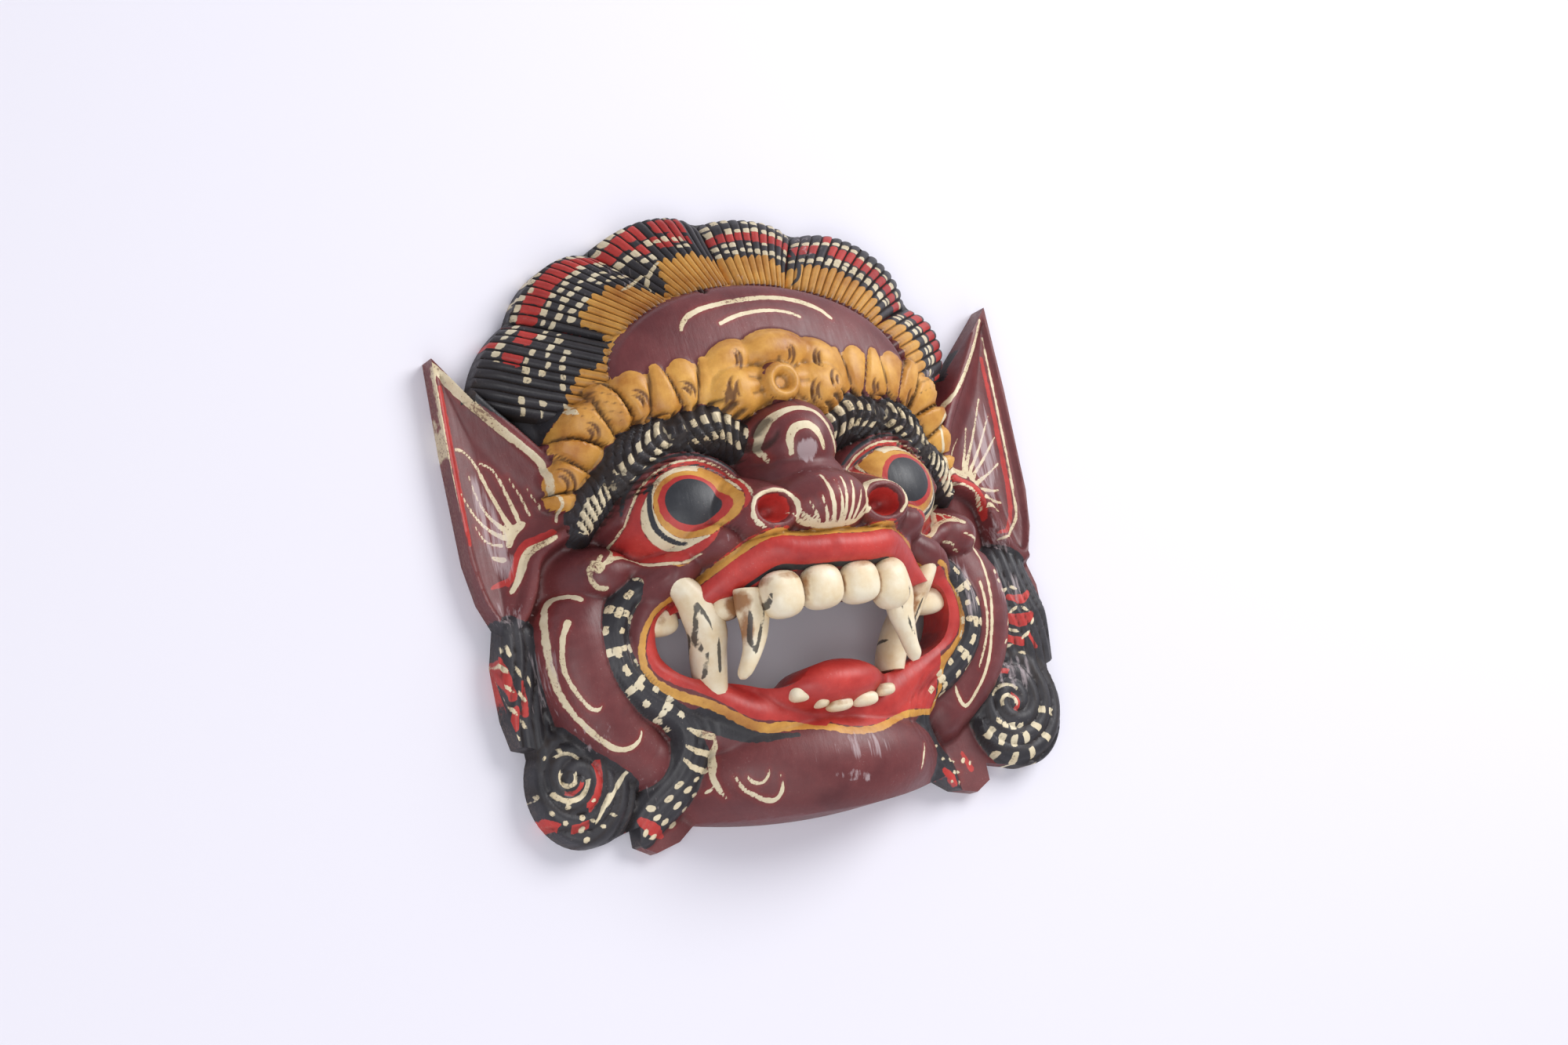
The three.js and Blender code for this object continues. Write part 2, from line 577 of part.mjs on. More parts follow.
const minus = (a, b) => [a[0] - b[0], a[1] - b[1], a[2] - b[2]];
const cross = (a, b) => [a[1] * b[2] - a[2] * b[1], a[2] * b[0] - a[0] * b[2], a[0] * b[1] - a[1] * b[0]];
const dot = (a, b) => a[0] * b[0] + a[1] * b[1] + a[2] * b[2];
const facetNormal = ([a, b, c]) => cross(minus(b, a), minus(c, a));

// Joins neighbouring vertices, cheapest first, until the solid has no more facets than asked for.
function coarsen(points, triangles, target) {
  const ring = points.map(() => new Set()); // facets round each vertex
  const sums = points.map(() => new Float64Array(10));
  triangles.forEach((t, f) => {
    const n = facetNormal(t.map((v) => points[v]));
    const size = Math.hypot(...n) || 1e-12;
    const unit = n.map((v) => v / size);
    for (const v of t) {
      ring[v].add(f);
      addPlane(sums[v], [...unit, -dot(unit, points[t[0]])], size);
    }
  });
  const stamp = new Uint32Array(points.length);
  const heap = new Heap();
  const offer = (u, v) => {
    const q = sums[u].map((value, k) => value + sums[v][k]);
    const middle = points[u].map((value, k) => (value + points[v][k]) / 2);
    const choices = [points[u], points[v], middle].map((p) => [planeError(q, p), p]);
    const [error, place] = choices.reduce((a, b) => (b[0] < a[0] ? b : a));
    const length = Math.hypot(...minus(points[u], points[v]));
    heap.push({ cost: error + LENGTH_COST * length, u, v, place, stamps: [stamp[u], stamp[v]] });
  };
  for (const [a, b, c] of triangles) {
    for (const [u, v] of [[a, b], [b, c], [c, a]]) {
      if (u < v) offer(u, v);
    }
  }

  const around = (v) => new Set([...ring[v]].flatMap((f) => triangles[f]).filter((w) => w !== v));
  const turnsOver = (v, other, place) => [...ring[v]].some((f) => {
    if (triangles[f].includes(other)) return false;
    const before = facetNormal(triangles[f].map((w) => points[w]));
    const after = facetNormal(triangles[f].map((w) => (w === v ? place : points[w])));
    return dot(before, after) < LEAST_TURN * Math.hypot(...before) * Math.hypot(...after) + 1e-9;
  });
  let count = triangles.length;
  while (count > target) {
    const next = heap.pop();
    if (!next) break;
    const { u, v, place, stamps } = next;
    if (stamps[0] !== stamp[u] || stamps[1] !== stamp[v] || !ring[u].size || !ring[v].size) continue;
    const near = around(v);
    if ([...around(u)].filter((w) => near.has(w)).length !== 2) continue;
    if (turnsOver(u, v, place) || turnsOver(v, u, place)) continue;
    for (const f of [...ring[v]]) {
      if (triangles[f].includes(u)) {
        for (const w of triangles[f]) ring[w].delete(f);
        triangles[f] = null;
        count -= 1;
      } else {
        triangles[f] = triangles[f].map((w) => (w === v ? u : w));
        ring[u].add(f);
      }
    }
    ring[v].clear();
    points[u] = place;
    sums[u] = sums[u].map((value, k) => value + sums[v][k]);
    stamp[u] += 1;
    stamp[v] += 1;
    for (const w of around(u)) offer(u, w);
  }
  return triangles.filter(Boolean).map((t) => t.map((v) => points[v]));
}

// ---------------------------------------------------------------- assembly

function carve() {
  let wood = reliefBlock();
  for (let i = 0; i < LOCK_STRANDS.length; i += 1) wood = wood.add(lockSolid(i));
  wood = wood.intersect(prism(maskOutline(), 0, 100));
  const bowl = ({ at, size, depth }) => ellipsoid([...at, 0], [...size, depth], 36, 18);
  wood = wood.subtract(bowl(HOLLOW)).subtract(bowl(NOSE_HOLLOW));
  wood = wood.subtract(prism(MOUTH_HOLE, -1, 110));
  for (const tooth of teeth()) wood = wood.add(tooth);
  return wood;
}

function toGeometry(solid) {
  const { vertProperties, triVerts } = solid.getMesh();
  const points = [];
  for (let i = 0; i < vertProperties.length; i += 3) points.push(Array.from(vertProperties.slice(i, i + 3)));
  const triangles = [];
  for (let i = 0; i < triVerts.length; i += 3) triangles.push(Array.from(triVerts.slice(i, i + 3)));
  const facets = coarsen(points, triangles, FACETS);
  let geometry = new THREE.BufferGeometry();
  geometry.setAttribute('position', new THREE.Float32BufferAttribute(facets.flat(2), 3));
  geometry = mergeVertices(geometry, 1e-4);
  geometry.computeBoundingBox();
  const centre = geometry.boundingBox.getCenter(new THREE.Vector3());
  return geometry.translate(-centre.x, -centre.y, 0);
}

const paintedWood = new THREE.MeshStandardMaterial({ color: 0x6e3c3e, roughness: 0.45, metalness: 0 });
const mask = new THREE.Mesh(toGeometry(carve()), paintedWood);
mask.name = 'mask';

const object = new THREE.Group();
object.add(mask);
export default object;
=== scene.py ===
"""The looks of the barong mask: one finely carved and painted piece in place of the plain solid.

The carving is worked out again from the same named volumes as the solid, on a finer grid, with the
combed hair, brow grooves, gouges and nostril rings added. The paint is kept as distances, in
millimetres, to the edge of each colour at every point of the mesh. The materials turn those into
crisp brush edges, and add wear, stains, dust and grain, painted highlights on the forehead ball
and the chin, and painted shade in the hollows and grooves, between the teeth and under the lip.
"""

import math

import bpy
import numpy as np
from mathutils import Matrix, Vector


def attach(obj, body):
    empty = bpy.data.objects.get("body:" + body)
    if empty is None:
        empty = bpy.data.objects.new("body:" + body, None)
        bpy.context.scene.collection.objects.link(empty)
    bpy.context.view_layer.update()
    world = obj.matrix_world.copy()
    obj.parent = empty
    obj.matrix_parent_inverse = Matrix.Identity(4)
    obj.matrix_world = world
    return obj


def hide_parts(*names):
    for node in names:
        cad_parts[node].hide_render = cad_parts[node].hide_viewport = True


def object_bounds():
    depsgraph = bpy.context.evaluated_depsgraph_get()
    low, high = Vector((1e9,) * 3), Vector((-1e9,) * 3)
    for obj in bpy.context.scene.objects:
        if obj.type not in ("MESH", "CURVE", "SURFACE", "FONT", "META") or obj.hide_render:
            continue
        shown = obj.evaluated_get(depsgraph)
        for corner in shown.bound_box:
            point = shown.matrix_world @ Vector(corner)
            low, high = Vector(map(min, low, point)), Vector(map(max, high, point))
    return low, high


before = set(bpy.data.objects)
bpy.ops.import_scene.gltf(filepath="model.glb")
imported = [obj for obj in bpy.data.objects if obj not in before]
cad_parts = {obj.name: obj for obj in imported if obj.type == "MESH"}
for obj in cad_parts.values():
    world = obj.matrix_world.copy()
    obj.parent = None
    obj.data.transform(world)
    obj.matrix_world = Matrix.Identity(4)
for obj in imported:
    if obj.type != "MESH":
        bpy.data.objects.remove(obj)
CAD_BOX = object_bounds()

# ---------------------------------------------------------------- the carving, as the solid has it

# Design coordinates are millimetres: X to the viewer's right, Y to the top of the head, Z out.
FLOOR = -6.0  # underside of the block before it is cut flat
BLEND = 2.5  # rounding where two volumes meet
ROUND_TO = 0.93  # share of a half width that is a quarter round
CUT_SLOPE = 2.6  # steepness of the cut that it runs out into
NONE = -40.0  # height of a volume where it is absent
FAR = -8.0  # signed distance, in millimetres, where an edge is out of reach
PAST_MIDDLE = -12  # how far each half of the face is worked out beyond the middle
FACE_BLANK = {"half": (122, 142), "rim": 7, "rise": 22, "power": 0.7}
HOLLOW = {"at": (2, -2), "size": (97, 105), "depth": 36}
NOSE_HOLLOW = {"at": (0, -10), "size": (28, 25), "depth": 58}

# The carver let some groups of features lean. Angles are in degrees, clockwise.
RIM_LEAN = -1
DOME_LEAN = 3.6
MOUTH_LEAN = 2.4
RIM_SHIFT = 3
NOSE_PIVOT = (0, -7)

# Hair: a fan of locks about one centre. Each notch is where two locks meet on the outline.
FAN = (2, 38)
NOTCHES = [(-130, 67), (-104, 104), (-59.5, 133.5), (0.5, 144.8), (50.3, 136.8), (106.4, 98), (115, 60)]
ROOT_TURN = [6, -2, -2.7, 3.2, 6, 3.7, -4]  # degrees that each notch turns on its way in
LOCK_BULGE = [5, 8, 7, 3, 10, 7]
LOCK = {"root": 33, "rim": 9, "crown": 5, "lip": 5, "lip_from": 0.8, "lip_run": 0.2, "reach": 1.06,
        "tuck": -0.12, "floor": 1.0}
DOME = {"at": (2, 62), "size": (80, 46), "top": 53, "drop": 19}


def soft_max(a, b, k):
    near = np.maximum(k - np.abs(a - b), 0) / k
    return np.maximum(a, b) + near * near * k * 0.25


def groove(phase):
    """Section of combed grooves: round ridges with a narrow V between them, 0 on the crest."""
    return 1 - np.abs(np.sin(math.pi * phase)) ** 0.6


def ramp(v, low, high):
    """0 below low, 1 above high, and a smooth S between them."""
    t = np.clip((v - low) / (high - low), 0, 1)
    return t * t * (3 - 2 * t)


def upright(x, y, degrees, pivot=(0, 0)):
    """Turns points about a pivot, so that a feature group is described upright."""
    c, s = math.cos(math.radians(degrees)), math.sin(math.radians(degrees))
    px, py = pivot
    return px + c * (x - px) - s * (y - py), py + s * (x - px) + c * (y - py)


def smooth(path, steps=4):
    """A path with rounded bends: `steps` knots along each stretch of a Catmull-Rom curve."""
    p = np.asarray(path, float)
    knots = []
    for i in range(len(p) - 1):
        a, b, c, d = p[max(i - 1, 0)], p[i], p[i + 1], p[min(i + 2, len(p) - 1)]
        for t in np.arange(steps) / steps:
            knots.append(b + 0.5 * t * (c - a + t * (2 * a - 5 * b + 4 * c - d + t * (3 * (b - c) + d - a))))
    return np.array([*knots, p[-1]])


def track(path, x, y, reach=30.0):
    """Follows a path of [x, y, ...values]. Returns the offset to its left, its unsigned distance,
    the length along it, the same run on past its ends, and the values there. Points beyond `reach`
    are only marked as far."""
    path = np.asarray(path, float)
    low, high = path[:, :2].min(0) - reach, path[:, :2].max(0) + reach
    near = np.flatnonzero((x > low[0]) & (x < high[0]) & (y > low[1]) & (y < high[1]))
    px, py = x[near], y[near]
    best = np.full(near.shape, np.inf)
    offset, along = np.zeros(near.shape), np.zeros(near.shape)
    values = np.zeros((len(near), path.shape[1]))
    run = np.zeros(near.shape)
    start, last = 0.0, len(path) - 2
    for i, (a, b) in enumerate(zip(path, path[1:])):
        d = b - a
        length = math.hypot(d[0], d[1])
        free = ((px - a[0]) * d[0] + (py - a[1]) * d[1]) / length**2
        t = np.clip(free, 0, 1)
        free = np.where((free < 0) & (i == 0) | (free > 1) & (i == last), free, t)
        ex, ey = px - a[0] - t * d[0], py - a[1] - t * d[1]
        distance = np.hypot(ex, ey)
        closer = distance < best
        best[closer] = distance[closer]
        side = np.sign(d[0] * ey - d[1] * ex)
        offset[closer] = (side * distance)[closer]
        along[closer] = (start + t * length)[closer]
        run[closer] = (start + free * length)[closer]
        values[closer] = (a + t[:, None] * d)[closer]
        start += length
    out = {
        "offset": np.full(x.shape, 1e3), "distance": np.full(x.shape, 1e3),
        "along": np.zeros(x.shape), "run": np.zeros(x.shape), "values": np.tile(path[0], (len(x), 1)),
        "length": start,
    }
    found = {"offset": offset, "distance": best, "along": along, "run": run, "values": values}
    for name, value in found.items():
        out[name][near] = value
    return out


def inside(polygon, x, y):
    odd = np.zeros(x.shape, bool)
    p = np.asarray(polygon, float)[:, :2]
    for (xi, yi), (xj, yj) in zip(p, np.roll(p, 1, axis=0)):
        if yi != yj:
            odd ^= ((yi > y) != (yj > y)) & (x < (xj - xi) * (y - yi) / (yj - yi) + xi)
    return odd


def fall(r, half, drop):
    """Section of every rounded volume: a quarter round that runs out into a steep straight cut."""
    rounded = np.minimum(r, ROUND_TO)
    return drop * (1 - np.sqrt(1 - rounded * rounded)) + CUT_SLOPE * half * (r - rounded)


def cap(x, y, at, size, top, drop, turn=0):
    """A rounded volume: an elliptic cap with its crest at `top`, `drop` above its edge."""
    u, v = upright(x - at[0], y - at[1], turn)
    return top - fall(np.hypot(u / size[0], v / size[1]), min(size), drop)


def roll(x, y, path, drop):
    """A rounded roll of wood along a path of [x, y, crest height, half width]."""
    t = track(path, x, y)
    return t["values"][:, 2] - fall(t["distance"] / t["values"][:, 3], t["values"][:, 3], drop)


# Half-face features. Knots are [distance from the middle, y, crest height, half width].
BROW_LOBES = [
    smooth([[23, 33, 54, 11], [34, 38, 57, 12.5], [47, 37.5, 54, 11.5]]),
    smooth([[59, 37.5, 50, 11.5], [68, 32, 48, 12.5], [76, 23, 43, 11]]),
    smooth([[84, 19, 38, 9.5], [90, 12, 35, 9], [95, 3, 30, 6.5]]),
]
EYELID = smooth([[21, 2, 49, 3], [31, 18, 51, 3.5], [50, 26, 52, 3.5], [68, 21, 47, 3.5], [80, 4, 39, 3.5]])
EYE_SACK = smooth([[28, -12, 52, 4], [48, -22, 48, 5], [66, -24, 43, 5], [84, -16, 37, 4], [95, -14, 33, 4]])
CHEEK = smooth([[98, -29, 31, 14], [105, -42, 34, 18], [105, -62, 33, 19], [97, -81, 29, 18.5],
                [82, -97, 24, 15]])
CHEEK_SHIFT = {-1: 2, 1: -11}  # the right cheek is narrower, and set further in
BEARD = smooth([
    [72, -27, 44, 5], [84, -35, 39, 6.5], [91, -49, 37, 7], [88, -64, 36, 7.5], [77, -76, 34, 8],
    [63, -85, 32, 8], [57, -98, 30, 9], [63, -113, 24, 10], [74, -124, 17, 10.5], [80, -133, 12, 8],
])
CROWN_BAND = smooth([
    [97, 21, 26, 7], [90, 40, 34, 10], [78, 53, 42, 11], [61, 57, 48, 11], [43, 59, 52, 11], [27, 60, 54, 9],
])
CROWN = {"every": 11.2, "lean": 0.25, "scallop": 2.6, "rise": 1.4, "drop": 4, "cut": (3.2, 1.6),
         "cut_half": 1.6}
# How far the crest of each roll of wood stands above its edge.
DROP = {"brow": 14, "eyelid": 4, "eye_sack": 5, "cheek": 15, "beard": 8, "side_lock": 7,
        "lower_lip": 9, "upper_lip": 10}
SIDE_LOCK = {-1: [[134, -36, 15, 10.5], [135, -60, 16, 11], [133, -88, 14, 10.5]],
             1: [[122, -40, 17, 15], [124, -60, 18, 18.5], [125, -84, 15, 17]]}
CURL = {"at": (114.5, -103), "size": (25, 29), "top": 19, "drop": 9}
SPIRAL = {-1: (120, -102), 1: (110.5, -99)}  # centre of each curl's winding
CURL_PITCH = 7.2
CURL_DEPTH = 2.2
CURL_SQUASH = 0.9  # the winding is taller than wide
EAR_EDGE = smooth([
    [146, 92], [131, 70], [115, 49], [103, 32], [98, 18], [101, 8], [112, 3], [120, -4], [124, -16],
    [131, -28], [139, -30], [145, -14], [147, 10], [147, 50], [146, 92],
], 3)
EAR = {"from": 98, "width": 49, "inner": 25, "outer": 11, "dish": 11, "step": 0.35, "step_at": (0.8, 3.2),
       "slope": 14, "rim": 3}
UPPER_LIP = smooth([
    [0, -25, 82, 8], [16, -25, 81, 8], [29, -24, 78, 8.5], [40, -29, 69, 8.5], [49, -35, 60, 7.5],
    [58, -41, 53, 5],
])
LOWER_LIP = smooth([
    [66, -32, 45, 6], [76, -41, 41, 7], [79, -54, 38, 7.5], [75, -66, 37, 7.5], [63, -74, 38, 8],
    [47, -82, 40, 9], [33, -89, 41, 9.5], [20, -91, 41, 9.5], [0, -89, 41, 9.5],
])
EYEBALL = {"at": (51, 3), "size": (27, 23.5), "top": 59, "drop": 22}
NOSTRIL_WING = {"at": (27.5, -6), "size": (13, 12), "top": 77, "drop": 16}
NOSE_PUFF = {"at": (47, -14.5), "size": (11.5, 8), "turn": -10, "top": 68.5, "drop": 12}
LIP_PUFF = {"at": (61, -24), "size": (18, 9.5), "turn": 30, "top": 55, "drop": 14}
CHEEKBONE = {"at": (90, -18), "size": (14, 11), "top": 39, "drop": 12}
NOSTRIL = {"at": (28, -6.2), "wide": 1.24, "hole": 6.7, "floor": 0.2, "lip": 0.6, "depth": 9}
NOSTRIL_RIM = {"radius": 8.1, "half": 1.8, "top": 79, "drop": 2, "blend": 1.5}
SIDE_STRAND = {"slant": 0.18, "sway": 1.5, "wave": 9, "pitch": 5.2, "depth": 1.6}

FACE_CAPS = [
    {"at": (0, -8), "size": (85, 62), "top": 48, "drop": 26},  # mid face
    {"at": (0.5, 27), "size": (19.5, 19.5), "top": 75, "drop": 19},  # forehead ball
    {"at": (0, 8), "size": (22, 16), "top": 74, "drop": 20},  # nose bridge
    {"at": (0, -4), "size": (24, 16.5), "top": 88, "drop": 24},  # nose
    {"at": (0, -22), "size": (52, 28), "top": 75, "drop": 24},  # upper jaw
    {"at": (0, -88), "size": (66, 24), "top": 40, "drop": 14},  # lower jaw
    {"at": (3, -80.5), "size": (27, 11.5), "top": 57, "drop": 18},  # tongue
    {"at": (2, -113), "size": (61, 28), "turn": 2, "top": 47, "drop": 30},  # chin
]
CROWN_CAPS = [
    {"at": (0, 54), "size": (33, 12), "top": 60, "drop": 9},  # crown flower
    {"at": (-21, 53), "size": (12.5, 11.5), "top": 61, "drop": 8},
    {"at": (21, 52), "size": (12.5, 11.5), "top": 61, "drop": 8},
    {"at": (-22, 67.5), "size": (13.5, 9), "turn": -28, "top": 57, "drop": 7},  # crown arch
    {"at": (2, 70.5), "size": (17, 10), "top": 60, "drop": 8},
    {"at": (24, 66), "size": (13, 9), "turn": 28, "top": 57, "drop": 7},
]
FLOWER_BOSS = {"at": (-2, 54.5), "radius": 6.5, "half": 2.4, "top": 64, "drop": 3}


def ear(u, y):
    """The ear: a thin rim round a dish that is deepest beside the cheek."""
    distance = track(EAR_EDGE, u, y, 12)["distance"]
    across = np.clip((u - EAR["from"]) / EAR["width"], 0, 1)
    level = EAR["inner"] + (EAR["outer"] - EAR["inner"]) * across
    outside = level - fall(distance / EAR["rim"], EAR["rim"], 1)
    step = EAR["step"]
    scoop = step * ramp(distance, *EAR["step_at"]) + (1 - step) * ramp(distance, 1, EAR["slope"])
    dish = EAR["dish"] * (1 - across / 2) * scoop
    return np.where(inside(EAR_EDGE, u, y), level - dish, outside)


def curl_polar(side, u, y):
    """Radius and direction from the middle of the winding, and its turns."""
    dx, dy = u - SPIRAL[side][0], (y - SPIRAL[side][1]) * CURL_SQUASH
    radius, direction = np.hypot(dx, dy), np.arctan2(dy, dx)
    return radius, np.degrees(direction), radius / CURL_PITCH - direction / (2 * math.pi)


def curl(side, u, y):
    """A disc whose crest winds inwards as a spiral roll."""
    disc = cap(u, y, **CURL)
    turns = curl_polar(side, u, y)[2]
    return np.where(disc < 0, NONE, disc - CURL_DEPTH * groove(turns))


def crown_lobe(t):
    """Where a point lies in the crown's row of lobes: the middle of its lobe along the row, the
    distance to the cut beside it, and that cut's depth."""
    cut = np.round(t["run"] / CROWN["every"])
    lean = np.where(cut % 2 == 0, CROWN["lean"], -CROWN["lean"])
    beyond = t["run"] - cut * CROWN["every"] - lean * t["offset"]
    number = np.where(beyond > 0, cut, cut - 1)
    return (number + 0.5) * CROWN["every"], np.abs(beyond), np.where(cut % 2 == 0, *CROWN["cut"])


def crown_band(u, y):
    """Leaves and lobes by turns, with a cut between each two, on a flat band."""
    t = track(CROWN_BAND, u, y, 20)
    middle, beside, deep = crown_lobe(t)
    across = np.clip(np.abs(t["run"] - middle) / CROWN["every"] * 2, 0, 1)
    half = t["values"][:, 3] + CROWN["scallop"] * (0.6 - across ** 2)
    crest = t["values"][:, 2] + CROWN["rise"] * (0.5 - across ** 3)
    height = crest - fall(t["distance"] / half, half, CROWN["drop"])
    return height - deep * (1 - ramp(beside, 0, CROWN["cut_half"]))


def side_lock_phase(u, y):
    """Strands of the lock below the ear, which run down it at a slant."""
    sway = SIDE_STRAND["sway"] * np.sin(y / SIDE_STRAND["wave"])
    return (u + SIDE_STRAND["slant"] * y + sway) / SIDE_STRAND["pitch"]


def half_face(side, x, y):
    """Everything that is made once for each side."""
    rx, ry = upright(x - RIM_SHIFT, y, RIM_LEAN)
    mx, my = upright(x, y, MOUTH_LEAN, NOSE_PIVOT)
    u, rim_u, mouth_u = x * side, rx * side, mx * side
    combed = SIDE_STRAND["depth"] * groove(side_lock_phase(rim_u, ry))
    side_lock = roll(rim_u, ry, SIDE_LOCK[side], DROP["side_lock"]) - combed
    volumes = [
        cap(u, y, **EYEBALL), cap(mouth_u, my, **NOSTRIL_WING), cap(u, y, **NOSE_PUFF),
        cap(mouth_u, my, **LIP_PUFF), cap(u, y, **CHEEKBONE),
        *[roll(u, y, lobe, DROP["brow"]) for lobe in BROW_LOBES],
        roll(u, y, EYELID, DROP["eyelid"]), roll(u, y, EYE_SACK, DROP["eye_sack"]),
        roll(rim_u - CHEEK_SHIFT[side], ry, CHEEK, DROP["cheek"]), roll(mouth_u, my, BEARD, DROP["beard"]),
        np.where(side_lock < 0, NONE, side_lock), curl(side, rim_u, ry), ear(rim_u, ry), crown_band(u, y),
        roll(mouth_u, my, LOWER_LIP, DROP["lower_lip"]), roll(mouth_u, my, UPPER_LIP, DROP["upper_lip"]),
    ]
    height = np.full(x.shape, NONE)
    for volume in volumes:
        height = soft_max(height, volume, BLEND)
    return np.where(u < PAST_MIDDLE, NONE, height)


def face_blank(x, y):
    (half_x, half_y), power = FACE_BLANK["half"], FACE_BLANK["power"]
    r = (x / half_x) ** 2 + (y / half_y) ** 2
    return FACE_BLANK["rim"] + FACE_BLANK["rise"] * np.maximum(0, 1 - r) ** power


def flower_boss(x, y):
    at, half = FLOWER_BOSS["at"], FLOWER_BOSS["half"]
    ring = np.abs(np.hypot(x - at[0], y - at[1]) - FLOWER_BOSS["radius"])
    return FLOWER_BOSS["top"] - fall(ring / half, half, FLOWER_BOSS["drop"])


def nostril_radius(side, mx, my):
    return np.hypot((mx * side - NOSTRIL["at"][0]) / NOSTRIL["wide"], my - NOSTRIL["at"][1])


def relief(x, y):
    dx, dy = upright(x, y, DOME_LEAN, DOME["at"])
    height = soft_max(face_blank(x, y), cap(dx, dy, **DOME), 1)
    for volume in FACE_CAPS + CROWN_CAPS:
        height = soft_max(height, cap(x, y, **volume), BLEND)
    height = soft_max(height, flower_boss(x, y), 1)
    for side in (-1, 1):
        height = soft_max(height, half_face(side, x, y), BLEND)
    mx, my = upright(x, y, MOUTH_LEAN, NOSE_PIVOT)
    for side in (-1, 1):
        r = nostril_radius(side, mx, my)
        half = NOSTRIL_RIM["half"]
        slope = fall(np.abs(r - NOSTRIL_RIM["radius"]) / half, half, NOSTRIL_RIM["drop"])
        height = soft_max(height, NOSTRIL_RIM["top"] - slope, NOSTRIL_RIM["blend"])
        floor_edge = NOSTRIL["hole"] * NOSTRIL["floor"]
        height = height - NOSTRIL["depth"] * (1 - ramp(r, floor_edge, NOSTRIL["hole"] + NOSTRIL["lip"]))
    return height


# ---------------------------------------------------------------- hair

def polar(x, y):
    return math.atan2(y - FAN[1], x - FAN[0]), math.hypot(x - FAN[0], y - FAN[1])


NOTCH_POLAR = [polar(*notch) for notch in NOTCHES]


def dome_radius(angle):
    """Radius of the dome's edge along a ray from the fan's centre."""
    dx, dy = upright(np.cos(angle), np.sin(angle), DOME_LEAN)
    ox, oy = (FAN[0] - DOME["at"][0]) / DOME["size"][0], (FAN[1] - DOME["at"][1]) / DOME["size"][1]
    ex, ey = dx / DOME["size"][0], dy / DOME["size"][1]
    a, b = ex * ex + ey * ey, ox * ex + oy * ey
    return (-b + np.sqrt(b * b - a * (ox * ox + oy * oy - 1))) / a


def lock_edges(i, s):
    """Directions of the two edges of lock `i`, at `s` of the way from the dome to the outline."""
    inwards = 1 - np.clip(s, 0, 1)
    return [NOTCH_POLAR[k][0] + math.radians(ROOT_TURN[k]) * inwards for k in (i, i + 1)]


def lock_rim(i, straight, bowed):
    """Radius of the outline across lock `i`: a straight share from notch to notch, and its bulge."""
    start, end = NOTCH_POLAR[i][1], NOTCH_POLAR[i + 1][1]
    return start + (end - start) * straight + LOCK_BULGE[i] * 4 * bowed * (1 - bowed)


def lock_point(i, s, t):
    """A point of lock `i`: `s` runs from the dome (0) to the outline (1), `t` across the lock."""
    edges = lock_edges(i, s)
    angle = edges[0] + (edges[1] - edges[0]) * t
    rim = lock_rim(i, t, t)
    root = dome_radius(angle)
    radius = root + (rim - root) * s
    return FAN[0] + radius * np.cos(angle), FAN[1] + radius * np.sin(angle)


def lock_height(s, t):
    """The lock's crest falls from the dome to the outline and turns down over the edge."""
    crest = LOCK["root"] + (LOCK["rim"] - LOCK["root"]) * np.clip(s, 0, 1.1)
    edge = LOCK["lip"] * np.clip((s - LOCK["lip_from"]) / LOCK["lip_run"], 0, 1.3) ** 2
    return crest + LOCK["crown"] * (1 - (2 * t - 1) ** 4) - edge


# ---------------------------------------------------------------- finer carving

STRANDS = [10, 12, 12, 10, 14, 8]  # combed strands of each lock
STRAND_DEPTH = 2.1
# Grooves of the brow's lobes. "slant" and "bend" lay them over and bow them outwards. "rows" are
# those of the painted dashes, as offset across the lobe and half length.
BROW_GROOVES = [
    {"pitch": 5.0, "depth": 2.4, "slant": -0.4, "bend": 0.05, "rows": [(3.6, 2.4), (-4.2, 1.8)]},
    {"pitch": 5.2, "depth": 2.4, "slant": 0.1, "bend": 0.1, "rows": [(3.6, 2.4), (-4.2, 1.8)]},
    {"pitch": 3.7, "depth": 1.8, "slant": 0.6, "bend": 0.03, "rows": [(0.5, 3.8)]},
]
BEARD_GROOVE = {"pitch": 3.6, "depth": 0.9}
FLOWER = {"petals": 9, "from": 9, "to": 17, "depth": 1.3, "squash": 1.25}
ALMOND = [
    [29, 14], [36, 19.5], [46, 23.8], [56, 24.5], [66, 21], [73, 14.5], [78, 6], [80.5, -1], [85, -7.5],
    [93, -13.8],
    [85, -12], [79, -13.2], [72, -18], [64, -20], [57, -17.5], [50, -10.5], [44, -7], [39, -1], [34, 7],
]  # outline of the open eye
EYE_GROOVE = 0.8
# Crescents cut by pushes of a round gouge: middle, radii and the direction that each faces.
CRESCENTS = {
    -1: [
        ((104, 23), (5.5, 8.5), 150), ((90.5, 42.5), (3.6, 6.4), 150), ((69.5, 52.5), (4.5, 7.2), 145),
        ((47.5, 54), (3.6, 6.2), 140),
    ],
    1: [
        ((31, 53), (3.4, 6.6), 160), ((57.5, 51), (3, 5.4), 180), ((80.5, 45.5), (3, 5.8), 175),
        ((88, 33), (3, 5.5), 190),
    ],
}
FLOWER_CRESCENTS = [
    ((-20, 53), (5, 8), 180), ((21, 49), (4.8, 7.4), 180), ((-24, 67.5), (4.5, 6.8), 0),
    ((3, 67.5), (3.4, 5.8), 0),
    ((26, 65), (4, 6), 180), ((-33, 50), (4, 6.5), 0),
]
GOUGE_CUT = {"half": 0.95, "spread": 58, "deepest": 1.2}
NAIL_HOLE = {"at": (-20.5, 104.5), "depth": 9, "floor": 1.1, "edge": 2.2}


def valley(phase):
    """Section of evenly rounded ridges and grooves: 0 on the crest, 1 in the groove."""
    return 0.5 + 0.5 * np.cos(2 * math.pi * phase)


def brow_phase(t, cut):
    return (t["run"] + cut["slant"] * t["offset"] + cut["bend"] * t["offset"] ** 2) / cut["pitch"]


